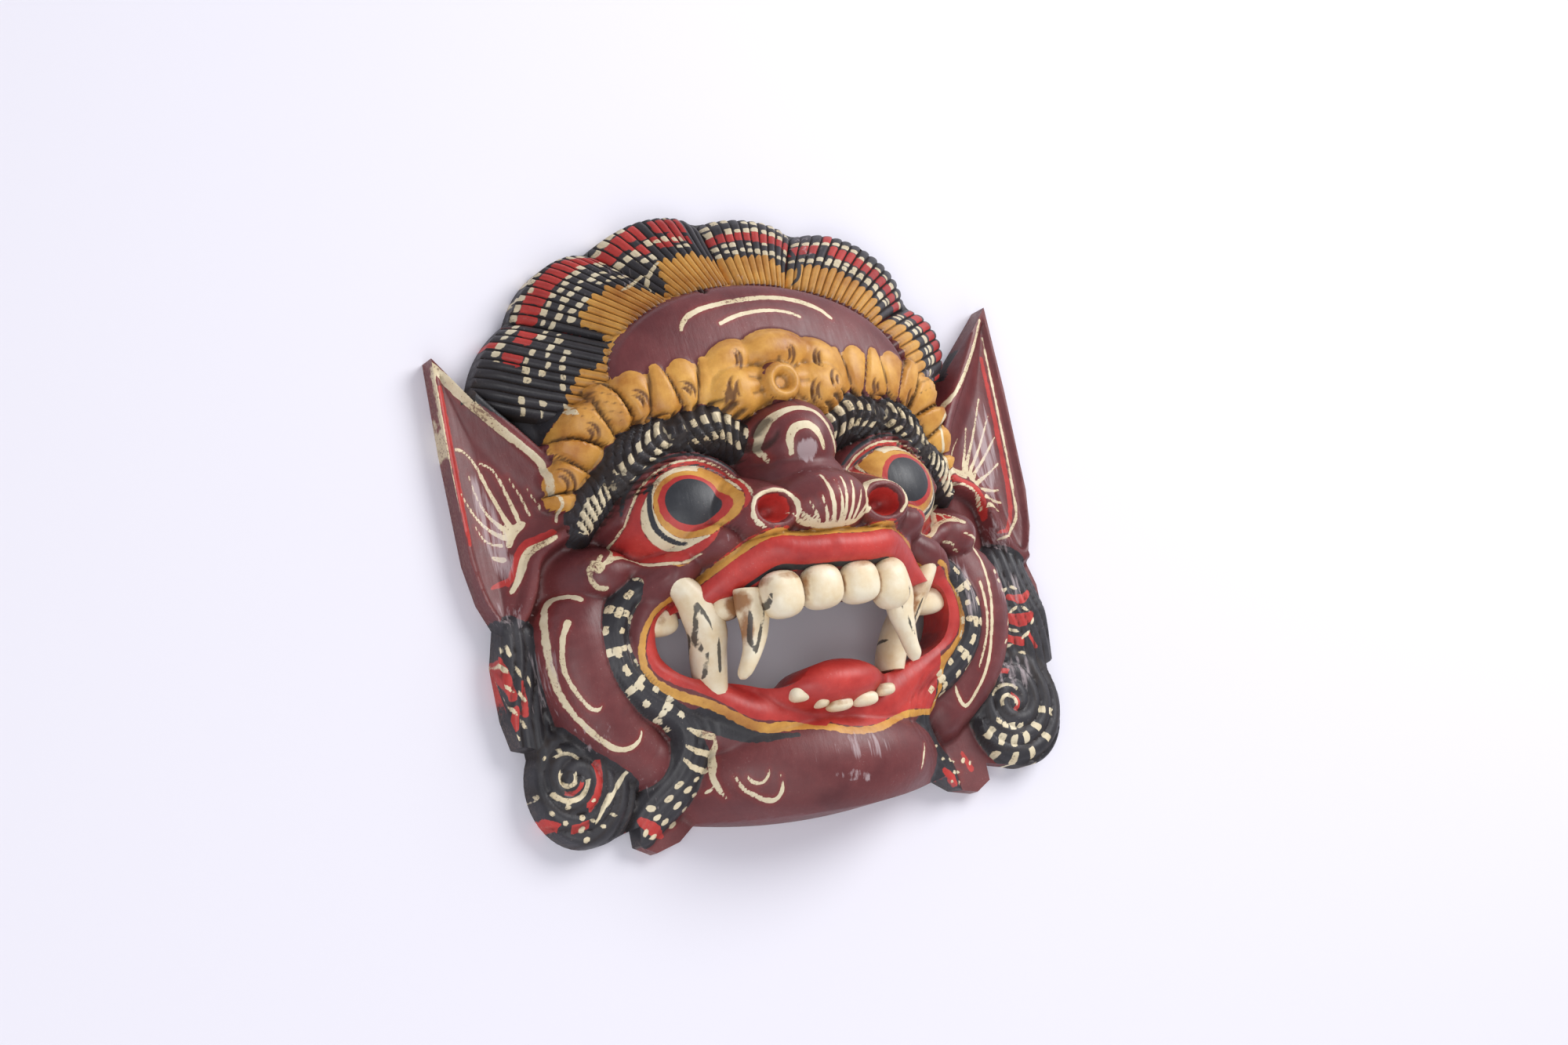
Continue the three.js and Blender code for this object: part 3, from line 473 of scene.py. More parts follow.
def crescents(x, y, list_of_crescents):
    """Distance into the nearest gouge cut: above 0 inside it."""
    found = np.full(x.shape, FAR)
    for (at_x, at_y), radii, facing in list_of_crescents:
        dx, dy = x - at_x, y - at_y
        turn = np.abs((np.degrees(np.arctan2(dy, dx)) - facing + 180) % 360 - 180)
        for radius in radii:
            half = GOUGE_CUT["half"] * np.clip(1 - (turn / GOUGE_CUT["spread"]) ** 2, -2, 1)
            found = np.maximum(found, half - np.abs(np.hypot(dx, dy) - radius))
    return found


def gouges(x, y):
    found = crescents(x, y, FLOWER_CRESCENTS)
    for side in (-1, 1):
        found = np.maximum(found, np.where(x * side > 0, crescents(x * side, y, CRESCENTS[side]), FAR))
    return found


def fine_cuts(x, y):
    """How deep the small tools went below the relief."""
    depth = np.zeros(x.shape)
    mx, my = upright(x, y, MOUTH_LEAN, NOSE_PIVOT)
    for side in (-1, 1):
        u, mouth_u = x * side, mx * side
        for lobe, shape in zip(BROW_LOBES, BROW_GROOVES):
            t = track(lobe, u, y, 18)
            half = t["values"][:, 3]
            near = 1 - ramp(t["distance"], half - 1, half + 1)
            depth = np.maximum(depth, near * shape["depth"] * valley(brow_phase(t, shape)))
        t = track(BEARD, mouth_u, my, 16)
        half = t["values"][:, 3]
        near = 1 - ramp(t["distance"], half - 1, half + 0.5)
        depth = np.maximum(depth, near * BEARD_GROOVE["depth"] * groove(t["offset"] / BEARD_GROOVE["pitch"]))
        rim = track(smooth([*ALMOND, ALMOND[0]]), u, y, 6)["distance"]
        depth = np.maximum(depth, EYE_GROOVE * (1 - ramp(rim, 0, 1.4)))
    depth = np.maximum(depth, np.clip(gouges(x, y) + 0.3, 0, GOUGE_CUT["deepest"]))
    dx, dy = x - FLOWER_BOSS["at"][0], (y - FLOWER_BOSS["at"][1]) * FLOWER["squash"]
    r = np.hypot(dx, dy)
    petal = groove(np.arctan2(dy, dx) / (2 * math.pi) * FLOWER["petals"])
    depth = np.maximum(depth, FLOWER["depth"] * petal * ramp(r, FLOWER["from"], FLOWER["from"] + 1)
                       * (1 - ramp(r, FLOWER["to"] - 1, FLOWER["to"])))
    hole = np.hypot(x - NAIL_HOLE["at"][0], y - NAIL_HOLE["at"][1])
    return np.maximum(depth, NAIL_HOLE["depth"] * (1 - ramp(hole, NAIL_HOLE["floor"], NAIL_HOLE["edge"])))


def carving(x, y):
    """The relief with its finer cuts."""
    return relief(x, y) - fine_cuts(x, y)


# ---------------------------------------------------------------- outline, openings and teeth

def arc_between(a, b, bulge, steps):
    t = np.arange(steps)[:, None] / steps
    a, b = np.array(a, float), np.array(b, float)
    across = np.array([a[1] - b[1], b[0] - a[0]]) / math.hypot(*(b - a))
    return a + (b - a) * t + across * bulge * 4 * t * (1 - t)


# One side of the outline, from the hair down to the chin, as distances from the middle.
SIDE_OUTLINE = [
    [146.5, 92], [147.5, 50], [147, 0], [144, -18], [139, -30], [143.5, -46], [143.5, -70], [141, -83],
    [135, -85],
]
CURL_OUTLINE = {"from": 32, "to": -112, "steps": 18}
TAIL_OUTLINE = [[93, -126], [93, -134], [85, -138.5], [73, -135.5], [64, -129]]
CHIN_BULGE = 7


def side_outline(side):
    angle = np.radians(np.linspace(CURL_OUTLINE["from"], CURL_OUTLINE["to"], CURL_OUTLINE["steps"] + 1))
    arc = np.stack([CURL["at"][0] + (CURL["size"][0] - 1) * np.cos(angle),
                    CURL["at"][1] + (CURL["size"][1] - 1) * np.sin(angle)], 1)
    half = np.concatenate([SIDE_OUTLINE, arc, TAIL_OUTLINE])
    x, y = upright(half[:, 0] * side, half[:, 1], -RIM_LEAN)
    return np.stack([x + RIM_SHIFT, y], 1)


def mask_outline():
    hair = [arc_between(a, b, bulge, 16) for a, b, bulge in zip(NOTCHES, NOTCHES[1:], LOCK_BULGE)]
    right, left = side_outline(1), side_outline(-1)[::-1]
    chin = arc_between(right[-1], left[0], CHIN_BULGE, 20)
    return np.concatenate([*hair, [NOTCHES[-1]], right[:-1], chin, left])[::-1]


MOUTH_HOLE = [
    [-36, -43.5], [-47, -43.5], [-56, -41], [-66, -40], [-72, -46], [-74, -55], [-70, -64], [-61, -69.5],
    [-48, -71.5],
    [-36, -75], [-24, -79.5], [-17, -78], [-10, -73], [3, -70.5], [16, -72.5], [28, -79], [36, -79],
    [48, -76],
    [61, -72], [71, -66], [75, -56], [73, -46], [66, -41], [56, -42], [47, -43.5], [36, -43.5],
]
INCISORS = [
    {"at": (-28, -42, 69), "size": (9.4, 10.5, 9)}, {"at": (-9.2, -41, 71), "size": (9.7, 10, 9)},
    {"at": (9.8, -41, 71), "size": (9.4, 9.6, 9)}, {"at": (27, -43, 69), "size": (8.2, 11.5, 9)},
]
LOWER_TEETH = [
    {"at": (-15, -83.5, 46), "size": (6, 3.8, 5)}, {"at": (-6.2, -88, 46), "size": (3.6, 3.2, 5)},
    {"at": (3, -90.5, 46), "size": (6.4, 3.3, 5)}, {"at": (16.5, -90, 46), "size": (6.2, 3.3, 5)},
    {"at": (28.5, -87, 45), "size": (4.2, 2.8, 5)},
]
TOOTH_SQUARENESS = 0.75  # 1 is an ellipsoid, 0 a box
MOLAR = {"at": (69, -45, 32), "size": (9, 6.5, 6)}
# Fangs and tusks, left and right, as [x, y, z of the middle, half width, half depth].
FANGS = [
    [[-38, -37, 60, 8, 6], [-39, -45, 61, 8, 6], [-39.4, -51, 61, 7, 5.8], [-40, -57, 60, 5.8, 5.2],
     [-41.7, -63, 59, 4.4, 4.6], [-44.2, -68, 58, 3.7, 4], [-46.2, -72.3, 56, 3, 3.6],
     [-46.8, -74.5, 55, 1.4, 1.8]],
    [[35, -38, 60, 7.5, 6], [35.5, -47, 61, 7.4, 6], [35.6, -55, 60, 6.2, 5.6], [37.2, -63, 59, 4.6, 4.6],
     [39.2, -69.5, 57, 3.6, 4], [41, -74.5, 56, 3, 3.6], [41.6, -77, 55, 1.4, 1.8]],
]
TUSKS = [
    [[-50.5, -78, 31, 6.4, 9], [-51.2, -71, 33, 7.2, 10], [-52, -60, 37, 7.8, 11], [-53, -50, 42, 8.8, 10.5],
     [-57.5, -39.5, 45, 8.2, 9], [-63.5, -31, 47, 6, 7.5], [-69, -25, 46, 4.8, 5.5],
     [-71.6, -22.6, 45, 2.6, 2.8]],
    [[41.5, -78, 31, 5.8, 9], [42.5, -71, 33, 6.2, 10], [46, -61, 36, 6.2, 10], [51.5, -51, 40, 6.2, 9.5],
     [57.5, -42, 43, 5.6, 8.5], [63, -33.5, 45, 4.8, 7], [67, -27, 45, 3.6, 5], [69, -23.5, 44, 1.8, 2.5]],
]
TUSK_WEB = {"at": (-46, -41.5, 48), "size": (8, 6, 8)}

# ---------------------------------------------------------------- solids

STEP = 1.08  # pitch of the carving's grid
BEYOND = 2  # margin of the grid past the outline
ABOVE = {"outline": (0, 100), "mouth": (-1, 110)}  # floor and top of the two prisms
BOWL_FACETS = (72, 36)  # round, and from pole to pole
TOOTH_FACETS = (28, 16)
MOLAR_FACETS = (24, 14)
LOCK_ROWS = 44
STRAND_COLUMNS = 6
WOOD, TEETH, INSIDE = SLOTS = 0, 1, 2  # material slots


def solid(name, points, faces, slot):
    mesh = bpy.data.meshes.new(name)
    mesh.from_pydata(points, [], faces)
    mesh.update()
    for _ in SLOTS:
        mesh.materials.append(None)
    mesh.polygons.foreach_set("material_index", np.full(len(mesh.polygons), slot, np.int32))
    piece = bpy.data.objects.new(name, mesh)
    bpy.context.scene.collection.objects.link(piece)
    return piece


def combine(piece, other, operation):
    """Joins, cuts or intersects two solids, and drops the second."""
    change = piece.modifiers.new(operation, "BOOLEAN")
    change.operation, change.solver, change.object = operation, "MANIFOLD", other
    graph = bpy.context.evaluated_depsgraph_get()
    result = bpy.data.meshes.new_from_object(piece.evaluated_get(graph))
    piece.modifiers.clear()
    old, spent = piece.data, other.data
    piece.data = result
    bpy.data.objects.remove(other)
    bpy.data.meshes.remove(old)
    bpy.data.meshes.remove(spent)


def grid_solid(name, top, floor):
    """A closed solid with a grid of points as its top and a flat underside."""
    rows, columns = top.shape[:2]
    index = np.arange(rows * columns).reshape(rows, columns)
    quads = np.stack([index[:-1, :-1], index[:-1, 1:], index[1:, 1:], index[1:, :-1]], -1).reshape(-1, 4)
    edge = np.concatenate([index[0, :-1], index[:-1, -1], index[-1, :0:-1], index[:0:-1, 0]])
    points = top.reshape(-1, 3)
    under = points[edge].copy()
    under[:, 2] = floor
    low = len(points) + np.arange(len(edge))
    walls = np.stack([edge, low, np.roll(low, -1), np.roll(edge, -1)], 1)
    faces = [*quads.tolist(), *walls.tolist(), low[::-1].tolist()]
    return solid(name, np.concatenate([points, under]).tolist(), faces, WOOD)


def prism(name, outline, low, high):
    n = len(outline)
    points = [(x, y, z) for z in (low, high) for x, y in outline]
    walls = [(i, (i + 1) % n, n + (i + 1) % n, n + i) for i in range(n)]
    return solid(name, points, [*walls, list(range(n))[::-1], list(range(n, 2 * n))], WOOD)


def ellipsoid(name, at, size, facets, slot, squareness=1.0):
    around, up = facets
    turn = np.arange(around) * 2 * math.pi / around
    rise = (np.arange(1, up) / up - 0.5) * math.pi
    ring = np.stack([np.outer(np.cos(rise), np.cos(turn)), np.outer(np.cos(rise), np.sin(turn)),
                     np.outer(np.sin(rise), np.ones(around))], -1).reshape(-1, 3)
    points = np.concatenate([ring, [[0, 0, -1], [0, 0, 1]]])
    points = np.sign(points) * np.abs(points) ** squareness * size + at
    faces = []
    for i in range(around):
        j = (i + 1) % around
        faces.append((len(ring), j, i))
        faces.append((len(ring) + 1, (up - 2) * around + i, (up - 2) * around + j))
        for k in range(up - 2):
            faces.append((k * around + i, k * around + j, (k + 1) * around + j, (k + 1) * around + i))
    return solid(name, points.tolist(), faces, slot)


def swept_tooth(name, knots, sides=20):
    """A tooth swept along knots of [x, y, z of its middle, half width, half depth]."""
    points, faces = [], []
    angle = np.arange(sides) * 2 * math.pi / sides
    for i, (x, y, z, half, depth) in enumerate(knots):
        before, after = knots[max(0, i - 1)], knots[min(len(knots) - 1, i + 1)]
        along = math.atan2(after[1] - before[1], after[0] - before[0])
        across = half * np.cos(angle)
        points += np.stack([x - across * math.sin(along), y + across * math.cos(along),
                            z + depth * np.sin(angle)], 1).tolist()
    for i in range(len(knots) - 1):
        for k in range(sides):
            m = (k + 1) % sides
            faces.append((i * sides + k, i * sides + m, (i + 1) * sides + m, (i + 1) * sides + k))
    faces.append(list(range(sides))[::-1])
    faces.append([(len(knots) - 1) * sides + k for k in range(sides)])
    return solid(name, points, faces, TEETH)


def teeth():
    found = [ellipsoid("tooth", tooth["at"], tooth["size"], TOOTH_FACETS, TEETH, TOOTH_SQUARENESS)
             for tooth in [*INCISORS, *LOWER_TEETH, TUSK_WEB]]
    found += [swept_tooth("tooth", smooth(knots)) for knots in FANGS + TUSKS]
    at_x, at_y, at_z = MOLAR["at"]
    for side in (-1, 1):
        at = (*upright(at_x * side, at_y, -MOUTH_LEAN, NOSE_PIVOT), at_z)
        found.append(ellipsoid("molar", at, MOLAR["size"], MOLAR_FACETS, TEETH, TOOTH_SQUARENESS))
    return found


def relief_block(outline):
    low, high = outline.min(0) - BEYOND, outline.max(0) + BEYOND
    columns, rows = np.ceil((high - low) / STEP).astype(int)
    x, y = np.meshgrid(np.linspace(low[0], high[0], columns), np.linspace(low[1], high[1], rows))
    z = carving(x.ravel(), y.ravel()).reshape(x.shape)
    return grid_solid("relief", np.stack([x, y, z], -1), FLOOR)


def lock_solid(i):
    """One lock of hair, combed into overlapping strands."""
    columns = STRANDS[i] * STRAND_COLUMNS
    lengthwise = np.linspace(LOCK["tuck"], LOCK["reach"], LOCK_ROWS)
    s, t = np.meshgrid(lengthwise, np.linspace(0, 1, columns + 1), indexing="ij")
    x, y = lock_point(i, s, t)
    z = lock_height(s, t) - STRAND_DEPTH * groove(t * STRANDS[i])
    return grid_solid("lock", np.stack([x, y, z], -1)[:, ::-1], LOCK["floor"])


def carve():
    outline = mask_outline()
    mask = relief_block(outline)
    for i in range(len(STRANDS)):
        combine(mask, lock_solid(i), "UNION")
    combine(mask, prism("outline", outline, *ABOVE["outline"]), "INTERSECT")
    for bowl in (HOLLOW, NOSE_HOLLOW):
        half = (*bowl["size"], bowl["depth"])
        combine(mask, ellipsoid("bowl", (*bowl["at"], 0), half, BOWL_FACETS, INSIDE), "DIFFERENCE")
    opening = smooth(MOUTH_HOLE + MOUTH_HOLE[:1], 3)[:-1]
    combine(mask, prism("mouth", opening, *ABOVE["mouth"]), "DIFFERENCE")
    for tooth in teeth():
        combine(mask, tooth, "UNION")
    return mask, outline


# ---------------------------------------------------------------- paint: distances to each edge

# Each colour is a signed distance in millimetres, above 0 where the colour is.
# Strokes are listed as [x, y, half width]. Those kept for each side, -1 and 1, take x as the
# distance from the middle of the face.
AREA_REACH = 12  # distances from the edge of an area are kept up to this
OWNED_SLOPE = 1.5
PAINT_OVERLAP = 3  # how far the paint of each side is worked out beyond the middle


def stroke(x, y, path):
    t = track(smooth(path), x, y, -FAR)
    return np.where(t["distance"] < -FAR, t["values"][:, 2] - t["distance"], FAR)


def strokes(x, y, paths):
    return union(*[stroke(x, y, path) for path in paths])


def union(*layers):
    return np.maximum.reduce(layers)


def cut(layer, *others):
    return np.minimum.reduce([layer, *[-other for other in others]])


def area(x, y, outline, steps=4):
    edge = smooth([*outline, outline[0]], steps)
    distance = np.minimum(track(edge, x, y, AREA_REACH)["distance"], AREA_REACH)
    return np.where(inside(edge, x, y), distance, -distance)


def blob(x, y, at, size, turn=0):
    u, v = upright(x - at[0], y - at[1], turn)
    return np.maximum((1 - np.hypot(u / size[0], v / size[1])) * min(size), -AREA_REACH)


DOME_STROKES = [
    [[-40, 84.5, 0.7], [-38, 88, 1.1], [-33, 92, 1.2], [-22, 95.2, 1.1], [0, 97.5, 1.1], [15, 96.8, 1.1],
     [26, 94, 1.2], [34, 89.8, 1.1], [38.5, 85, 0.7]],
    [[-20.5, 86, 0.9], [-12, 89, 1], [0, 90.8, 0.9], [10, 90.3, 0.8], [17, 88.6, 0.8], [21, 86.6, 0.8]],
]
BALL_STROKES = [
    [[-16.5, 18.5, 0.5], [-19, 25, 0.9], [-17.5, 32, 1.3], [-12, 38, 1.5], [-3, 40, 1.3], [5, 37.5, 1],
     [10, 31, 1], [13, 23, 0.9], [15.5, 19, 0.7], [19, 20.5, 0.7], [20.5, 28, 0.8], [21, 37, 0.6]],
    [[22, 35, 0.7], [25, 27, 0.7], [28.5, 23.5, 0.6]],
    [[-9.8, 19.5, 0.9], [-10, 26, 1.5], [-7, 30.5, 1.8], [-1, 31, 1.8], [3, 27, 1.6], [5.5, 20, 0.8]],
]
WHISKERS = [
    [[-18.5, -4, 0.4], [-16, -9, 0.6], [-11.5, -13.5, 0.8]],
    [[-13.5, -5, 0.4], [-11.5, -9.5, 0.6], [-9, -14, 0.8]],
    [[-8.5, -3, 0.4], [-7, -9, 0.6], [-5.5, -14.5, 0.8]], [[-4.5, 6.5, 0.5], [-4, -3, 0.9], [-2.5, -15, 1]],
    [[0, 3, 0.4], [0.5, -5, 0.6], [0.8, -15, 0.8]], [[4, 4, 0.5], [3.2, -5, 0.8], [2.5, -15, 0.9]],
    [[9, 2.5, 0.5], [7, -6, 0.8], [5.5, -14.5, 0.9]], [[13.5, -2, 0.4], [11, -8, 0.7], [8.5, -14, 0.8]],
    [[19, -6, 0.4], [16, -9.5, 0.6], [11.5, -13.5, 0.7]],
    [[-21, -8, 0.4], [-15, -13, 0.7], [-7, -15.6, 0.9], [2, -16, 0.9], [11, -14.6, 0.8], [20, -9.5, 0.5]],
]
CHIN_STROKES = [
    [[-48.5, -114, 0.4], [-45.5, -120, 0.7], [-39, -125, 0.8], [-33, -127.3, 1], [-30, -124, 0.9],
     [-30.3, -117, 0.3]],
    [[-44, -115, 0.5], [-42, -118, 0.7], [-38.5, -119, 0.8], [-36, -117, 0.7], [-35, -114, 0.3]],
    [[49, -113, 0.4], [47, -118, 0.7], [45, -124, 0.4]],
]
CHEEK_STROKES = {
    -1: [
        [[104, -27, 1.4], [108, -24.5, 1.1], [113, -25, 0.9], [118, -32, 0.8], [121, -43, 0.9],
         [121.5, -57, 0.9],
         [119, -69, 0.9], [114.5, -78, 0.9], [107, -87, 1.1], [99.5, -93.2, 1.1], [92.5, -94.3, 1],
         [87.5, -91.5, 0.8],
         [85.5, -87.5, 0.3]],
        [[112.5, -37, 1.4], [116, -43, 1], [117.8, -53, 0.9], [117, -61, 0.8], [113.5, -69, 0.8],
         [109.5, -74.8, 0.8],
         [106, -76.3, 0.7], [104.2, -75, 0.3]],
    ],
    1: [
        [[91.5, -19.5, 0.5], [96, -21, 0.7], [100.5, -23, 0.7], [102, -30, 0.7], [102.2, -50, 0.8],
         [99, -70, 0.8],
         [95.5, -82, 0.8], [90, -91, 0.8], [84, -97.5, 0.8], [80.5, -96, 0.8], [78.5, -91, 0.6],
         [78, -86, 0.3]],
        [[97.6, -42, 0.8], [98.5, -50, 0.7], [98.2, -60, 0.6], [96, -70, 0.6], [91, -82, 0.4]],
    ],
}
CHEEKBONE_STROKES = {
    -1: [
        [[98, -12.5, 0.6], [95.5, -15, 1.6], [97, -17.5, 1.1], [98.5, -16, 0.8]],
        [[97, -12.5, 0.3], [100.3, -15.5, 0.6], [100, -20.5, 0.8], [97.5, -24, 0.9], [94, -25, 1]],
        [[93, -10, 0.5], [95.5, -12.5, 0.9]],
    ],
    1: [
        [[91, -2.5, 0.7], [86, -5, 0.7], [82, -9.5, 0.7], [76.5, -16.5, 0.6]],
        [[81, -22, 0.5], [83.5, -22.6, 0.7], [86, -24.2, 0.5]], [[86, -25.5, 0.5], [89, -27, 0.5]],
        [[85, -9, 0.3], [84.4, -15, 0.4]],
    ],
}
EAR_STROKES = {
    -1: [
        [[141, 48, 0.6], [136.5, 46.5, 0.7], [132.5, 41, 0.7], [129.5, 32, 0.8], [126, 22, 0.9],
         [122, 11.5, 1.2]],
        [[130, 41, 0.5], [125, 37.5, 0.6], [121.5, 28.5, 0.7], [117.3, 11.5, 1]],
        [[136.3, 36, 0.4], [135, 28, 0.6], [131, 18, 0.7], [123.5, 9, 1.1]],
        [[119, 34, 0.3], [115.5, 25, 0.5], [113, 15, 0.6]],
        [[112, 27, 0.3], [109.5, 21, 0.5], [108, 16.5, 0.6]],
        [[142, 28, 0.4], [138, 19, 0.6], [132, 11.5, 0.8], [125, 6.5, 1.1]],
        [[138, 13, 0.4], [134, 6, 0.6], [127, 3.5, 0.9]], [[132, -1.5, 0.8], [127.5, -3, 1.3]],
        [[124, 3, 1.2], [121, 9, 2], [116.5, 11.5, 1.4]],
    ],
    1: [
        [[114, 12, 1.2], [119, 22, 0.6], [124, 36, 0.3]], [[116, 12, 1.2], [127, 31, 0.6], [136, 50, 0.4]],
        [[117, 10, 1.2], [130, 26, 0.6], [139, 41, 0.4]], [[118, 9, 1.2], [131, 20, 0.6], [140, 30, 0.4]],
        [[119, 7, 1.2], [131, 12, 0.7], [139, 17, 0.4]], [[120, 4, 1.2], [129, 4, 0.9], [136, 4, 0.6]],
        [[121, 0, 1.1], [129, -1.5, 0.9], [136, -2, 0.6]],
        [[122, -4, 1], [127, -5.5, 0.8], [131, -6.5, 0.5]],
        [[105, 17, 0.5], [110, 24, 0.5], [117, 31, 0.3]], [[100, 12, 0.9], [106, 14, 2], [113, 12, 2.2]],
    ],
}
EAR_EDGE_STROKES = {
    -1: [
        [[146, 87, 1.4], [138, 76, 1.8], [128, 62.5, 1.4], [118, 50.5, 1.2], [110, 41, 1], [106, 34.5, 1.1],
         [105, 28, 0.9], [103, 20, 0.8], [102, 15, 0.7], [103, 10, 0.6]],
        [[146, 87, 1.2], [145.4, 60, 0.6], [145.3, 40, 0.5], [145, 15, 0.5]],
        [[106.5, 2.5, 0.9], [112, 0.5, 1.4], [117, -1.2, 1.6], [120.5, -5, 1.6], [123.5, -12, 1.3],
         [127.5, -18, 0.8]],
    ],
    1: [
        [[143, 88, 0.6], [133, 72, 0.9], [118, 54, 0.9], [106, 44, 0.8], [97.5, 35, 0.8], [97.6, 22, 0.7],
         [99, 14, 0.7], [101, 9, 0.6]],
        [[144, 80, 0.5], [144.5, 40, 0.6], [143.5, 0, 0.6], [141, -12, 0.7], [133, -19, 0.7],
         [126, -20.5, 0.5]],
        [[92, 6, 0.4], [100, 7, 0.5], [108, 6, 0.6], [115, 2, 0.6], [120, -6, 0.5]],
    ],
}
EAR_RED = {
    -1: [
        [[106, 5.5, 1.3], [112, 3.6, 1.7], [117.5, 2, 1.9], [121.5, -2, 1.6], [125, -9, 1.3],
         [128, -14.5, 0.8]],
        [[143.2, 76, 1.2], [143, 50, 1.6], [142.8, 25, 1.5], [142.5, 5, 1]],
        [[136, -15, 0.5], [131, -13.5, 1.3], [125.5, -12, 1.2]],
    ],
    1: [
        [[90, 8, 1], [98, 9.5, 1.6], [108, 8.5, 1.8], [115, 4, 1.8], [119, -2, 1.4], [121, -10, 0.8]],
        [[141.5, 70, 0.8], [142, 30, 1.1], [140.5, -5, 1.1], [134, -16, 1.2], [126, -17.5, 0.8]],
    ],
}
SCLERA = [
    [33, 14.5], [39, 18.5], [46, 21.7], [56, 22.6], [65, 19.3], [72, 12], [75.8, 4.5], [75.6, -3],
    [71.5, -10],
    [64, -14.8], [57, -13], [49, -9], [43, -5.5], [39, 2],
]
EYE_RINGS = {"pupil": ((56, 5.3), (11.6, 10.6)), "red": ((56, 5), (14.2, 12.9)),
             "yellow": ((55, 4.4), (17, 15.8))}
EYE_CORNER = [[34.5, 15], [42, 19.8], [48, 20], [48, 0], [41, -1], [38.5, 5]]
BELOW_LOCK = [[-131, 70], [-124, 62], [-112, 52], [-103, 44], [-90, 57], [-84, 62], [-84, 70], [-110, 74]]
EYE_ARC = [[68, 17, 0.3], [71.6, 11.5, 0.7], [73.2, 4, 0.85], [72.2, -3, 0.9], [68.3, -8.4, 0.9],
           [61.5, -12.6, 0.8]]
LID_CREAM = [
    [[29, 14, 0.7], [35, 19.6, 0.5], [45, 24, 0.5], [56, 24.8, 0.5], [66, 21.4, 0.5], [74, 14.5, 0.5],
     [79, 5, 0.5],
     [82, -2.5, 0.5], [87, -9, 0.6], [94, -14.5, 0.7]],
    [[29, 14, 0.6], [33, 8.5, 0.5], [37.5, 1, 0.4]],
    [[94, -14.5, 0.8], [86, -12.2, 0.8], [79.5, -14, 0.8], [73, -18.8, 0.9], [64, -20.6, 0.7],
     [57, -18.2, 0.5]],
]
LID_LINES = [
    [[31.5, 14.2, 0.3], [37, 18, 0.5], [46, 22.2, 0.5], [56, 23.2, 0.4], [66, 19.8, 0.4], [73, 12.5, 0.3]],
    [[27, 16, 0.5], [35, 22.6, 0.8], [46, 27, 0.8], [58, 27.8, 0.8], [69, 24, 0.7], [77.5, 15.5, 0.6],
     [82, 5, 0.4]],
]
LID_GOLD = [[[78.5, -9, 0.3], [73.5, -15, 0.6], [66.5, -21.5, 0.7], [60, -19.3, 0.5], [50, -10, 0.4]]]
NOSTRIL_RING = [
    [34.5, -13.2, 0.6], [38.3, -9.5, 0.8], [39, -5.5, 0.8], [37, -0.6, 0.8], [32, 2, 0.8], [26, 2.6, 0.8],
    [20.5, 0.8, 0.9], [17.6, -4.5, 0.9], [17.8, -11, 0.8],
]
LIP_YELLOW = [5.2, 8.6]  # offsets across the upper lip between which its border is yellow
GUM = [6.9, 8.6]  # and offsets the other way for the dark gum
GUM_LENGTH = 46
LOWER_YELLOW = [[66, -33.5, 1.0], [75, -38, 1.2], [81.5, -47, 1.4], [83.6, -56, 1.4], [81.5, -64.5, 1.4],
                [75, -71.5, 1.5], [66, -77, 1.7], [54, -83, 1.7], [46, -88.5, 1.8], [38, -93.5, 1.8]]
LOWER_YELLOW_LEFT = [[-38, -93.5, 1.8], [-31, -95.8, 2.0], [-20, -96.5, 2.0], [-10, -97.8, 1.9],
                     [0, -100.5, 1.7]]
LOWER_YELLOW_RIGHT = [[0, -100.5, 1.7], [8, -103, 1.7], [20, -103.6, 1.7], [30, -101.5, 1.7],
                      [42, -98.5, 1.7],
                      [54, -98.3, 1.4], [63, -97.5, 1.2], [66, -90, 1.1], [67, -81, 1.5], [71, -74.5, 1.6]]
MOUTH_RED = [
    [66, -35], [75, -40], [80, -49], [81.5, -57], [79, -64], [72, -70], [62, -75], [52, -81], [44, -87],
    [36, -91.5],
    [20, -94], [0, -97], [0, -60], [40, -50], [60, -40],
]
MOUTH_RED_RIGHT = [[0, -98], [10, -101], [22, -101.5], [34, -99], [46, -96.5], [62, -96.5], [64.5, -86],
                   [66, -78],
                   [60, -60], [0, -60]]
BEARD_TO_CHIN = [[60, -86, 4], [50, -92, 4], [41, -97, 3], [31, -99.8, 2], [18, -100.8, 0.8]]
ZIGZAG = [
    [[-54.3, -95.5, 0.4], [-53.6, -101, 1.2], [-55, -107.5, 1.3], [-55.8, -112.5, 1], [-54, -118, 0.8],
     [-51, -122.5, 0.3]],
    [[-65.5, -89.5, 0.5], [-61, -92.5, 1.3], [-55, -95.3, 1.5]],
    [[-66, -97, 0.6], [-62, -100, 1.2], [-56, -102, 1.3]],
    [[-67.5, -102.5, 0.6], [-64, -106.5, 1.3], [-58, -109, 1.2]],
]
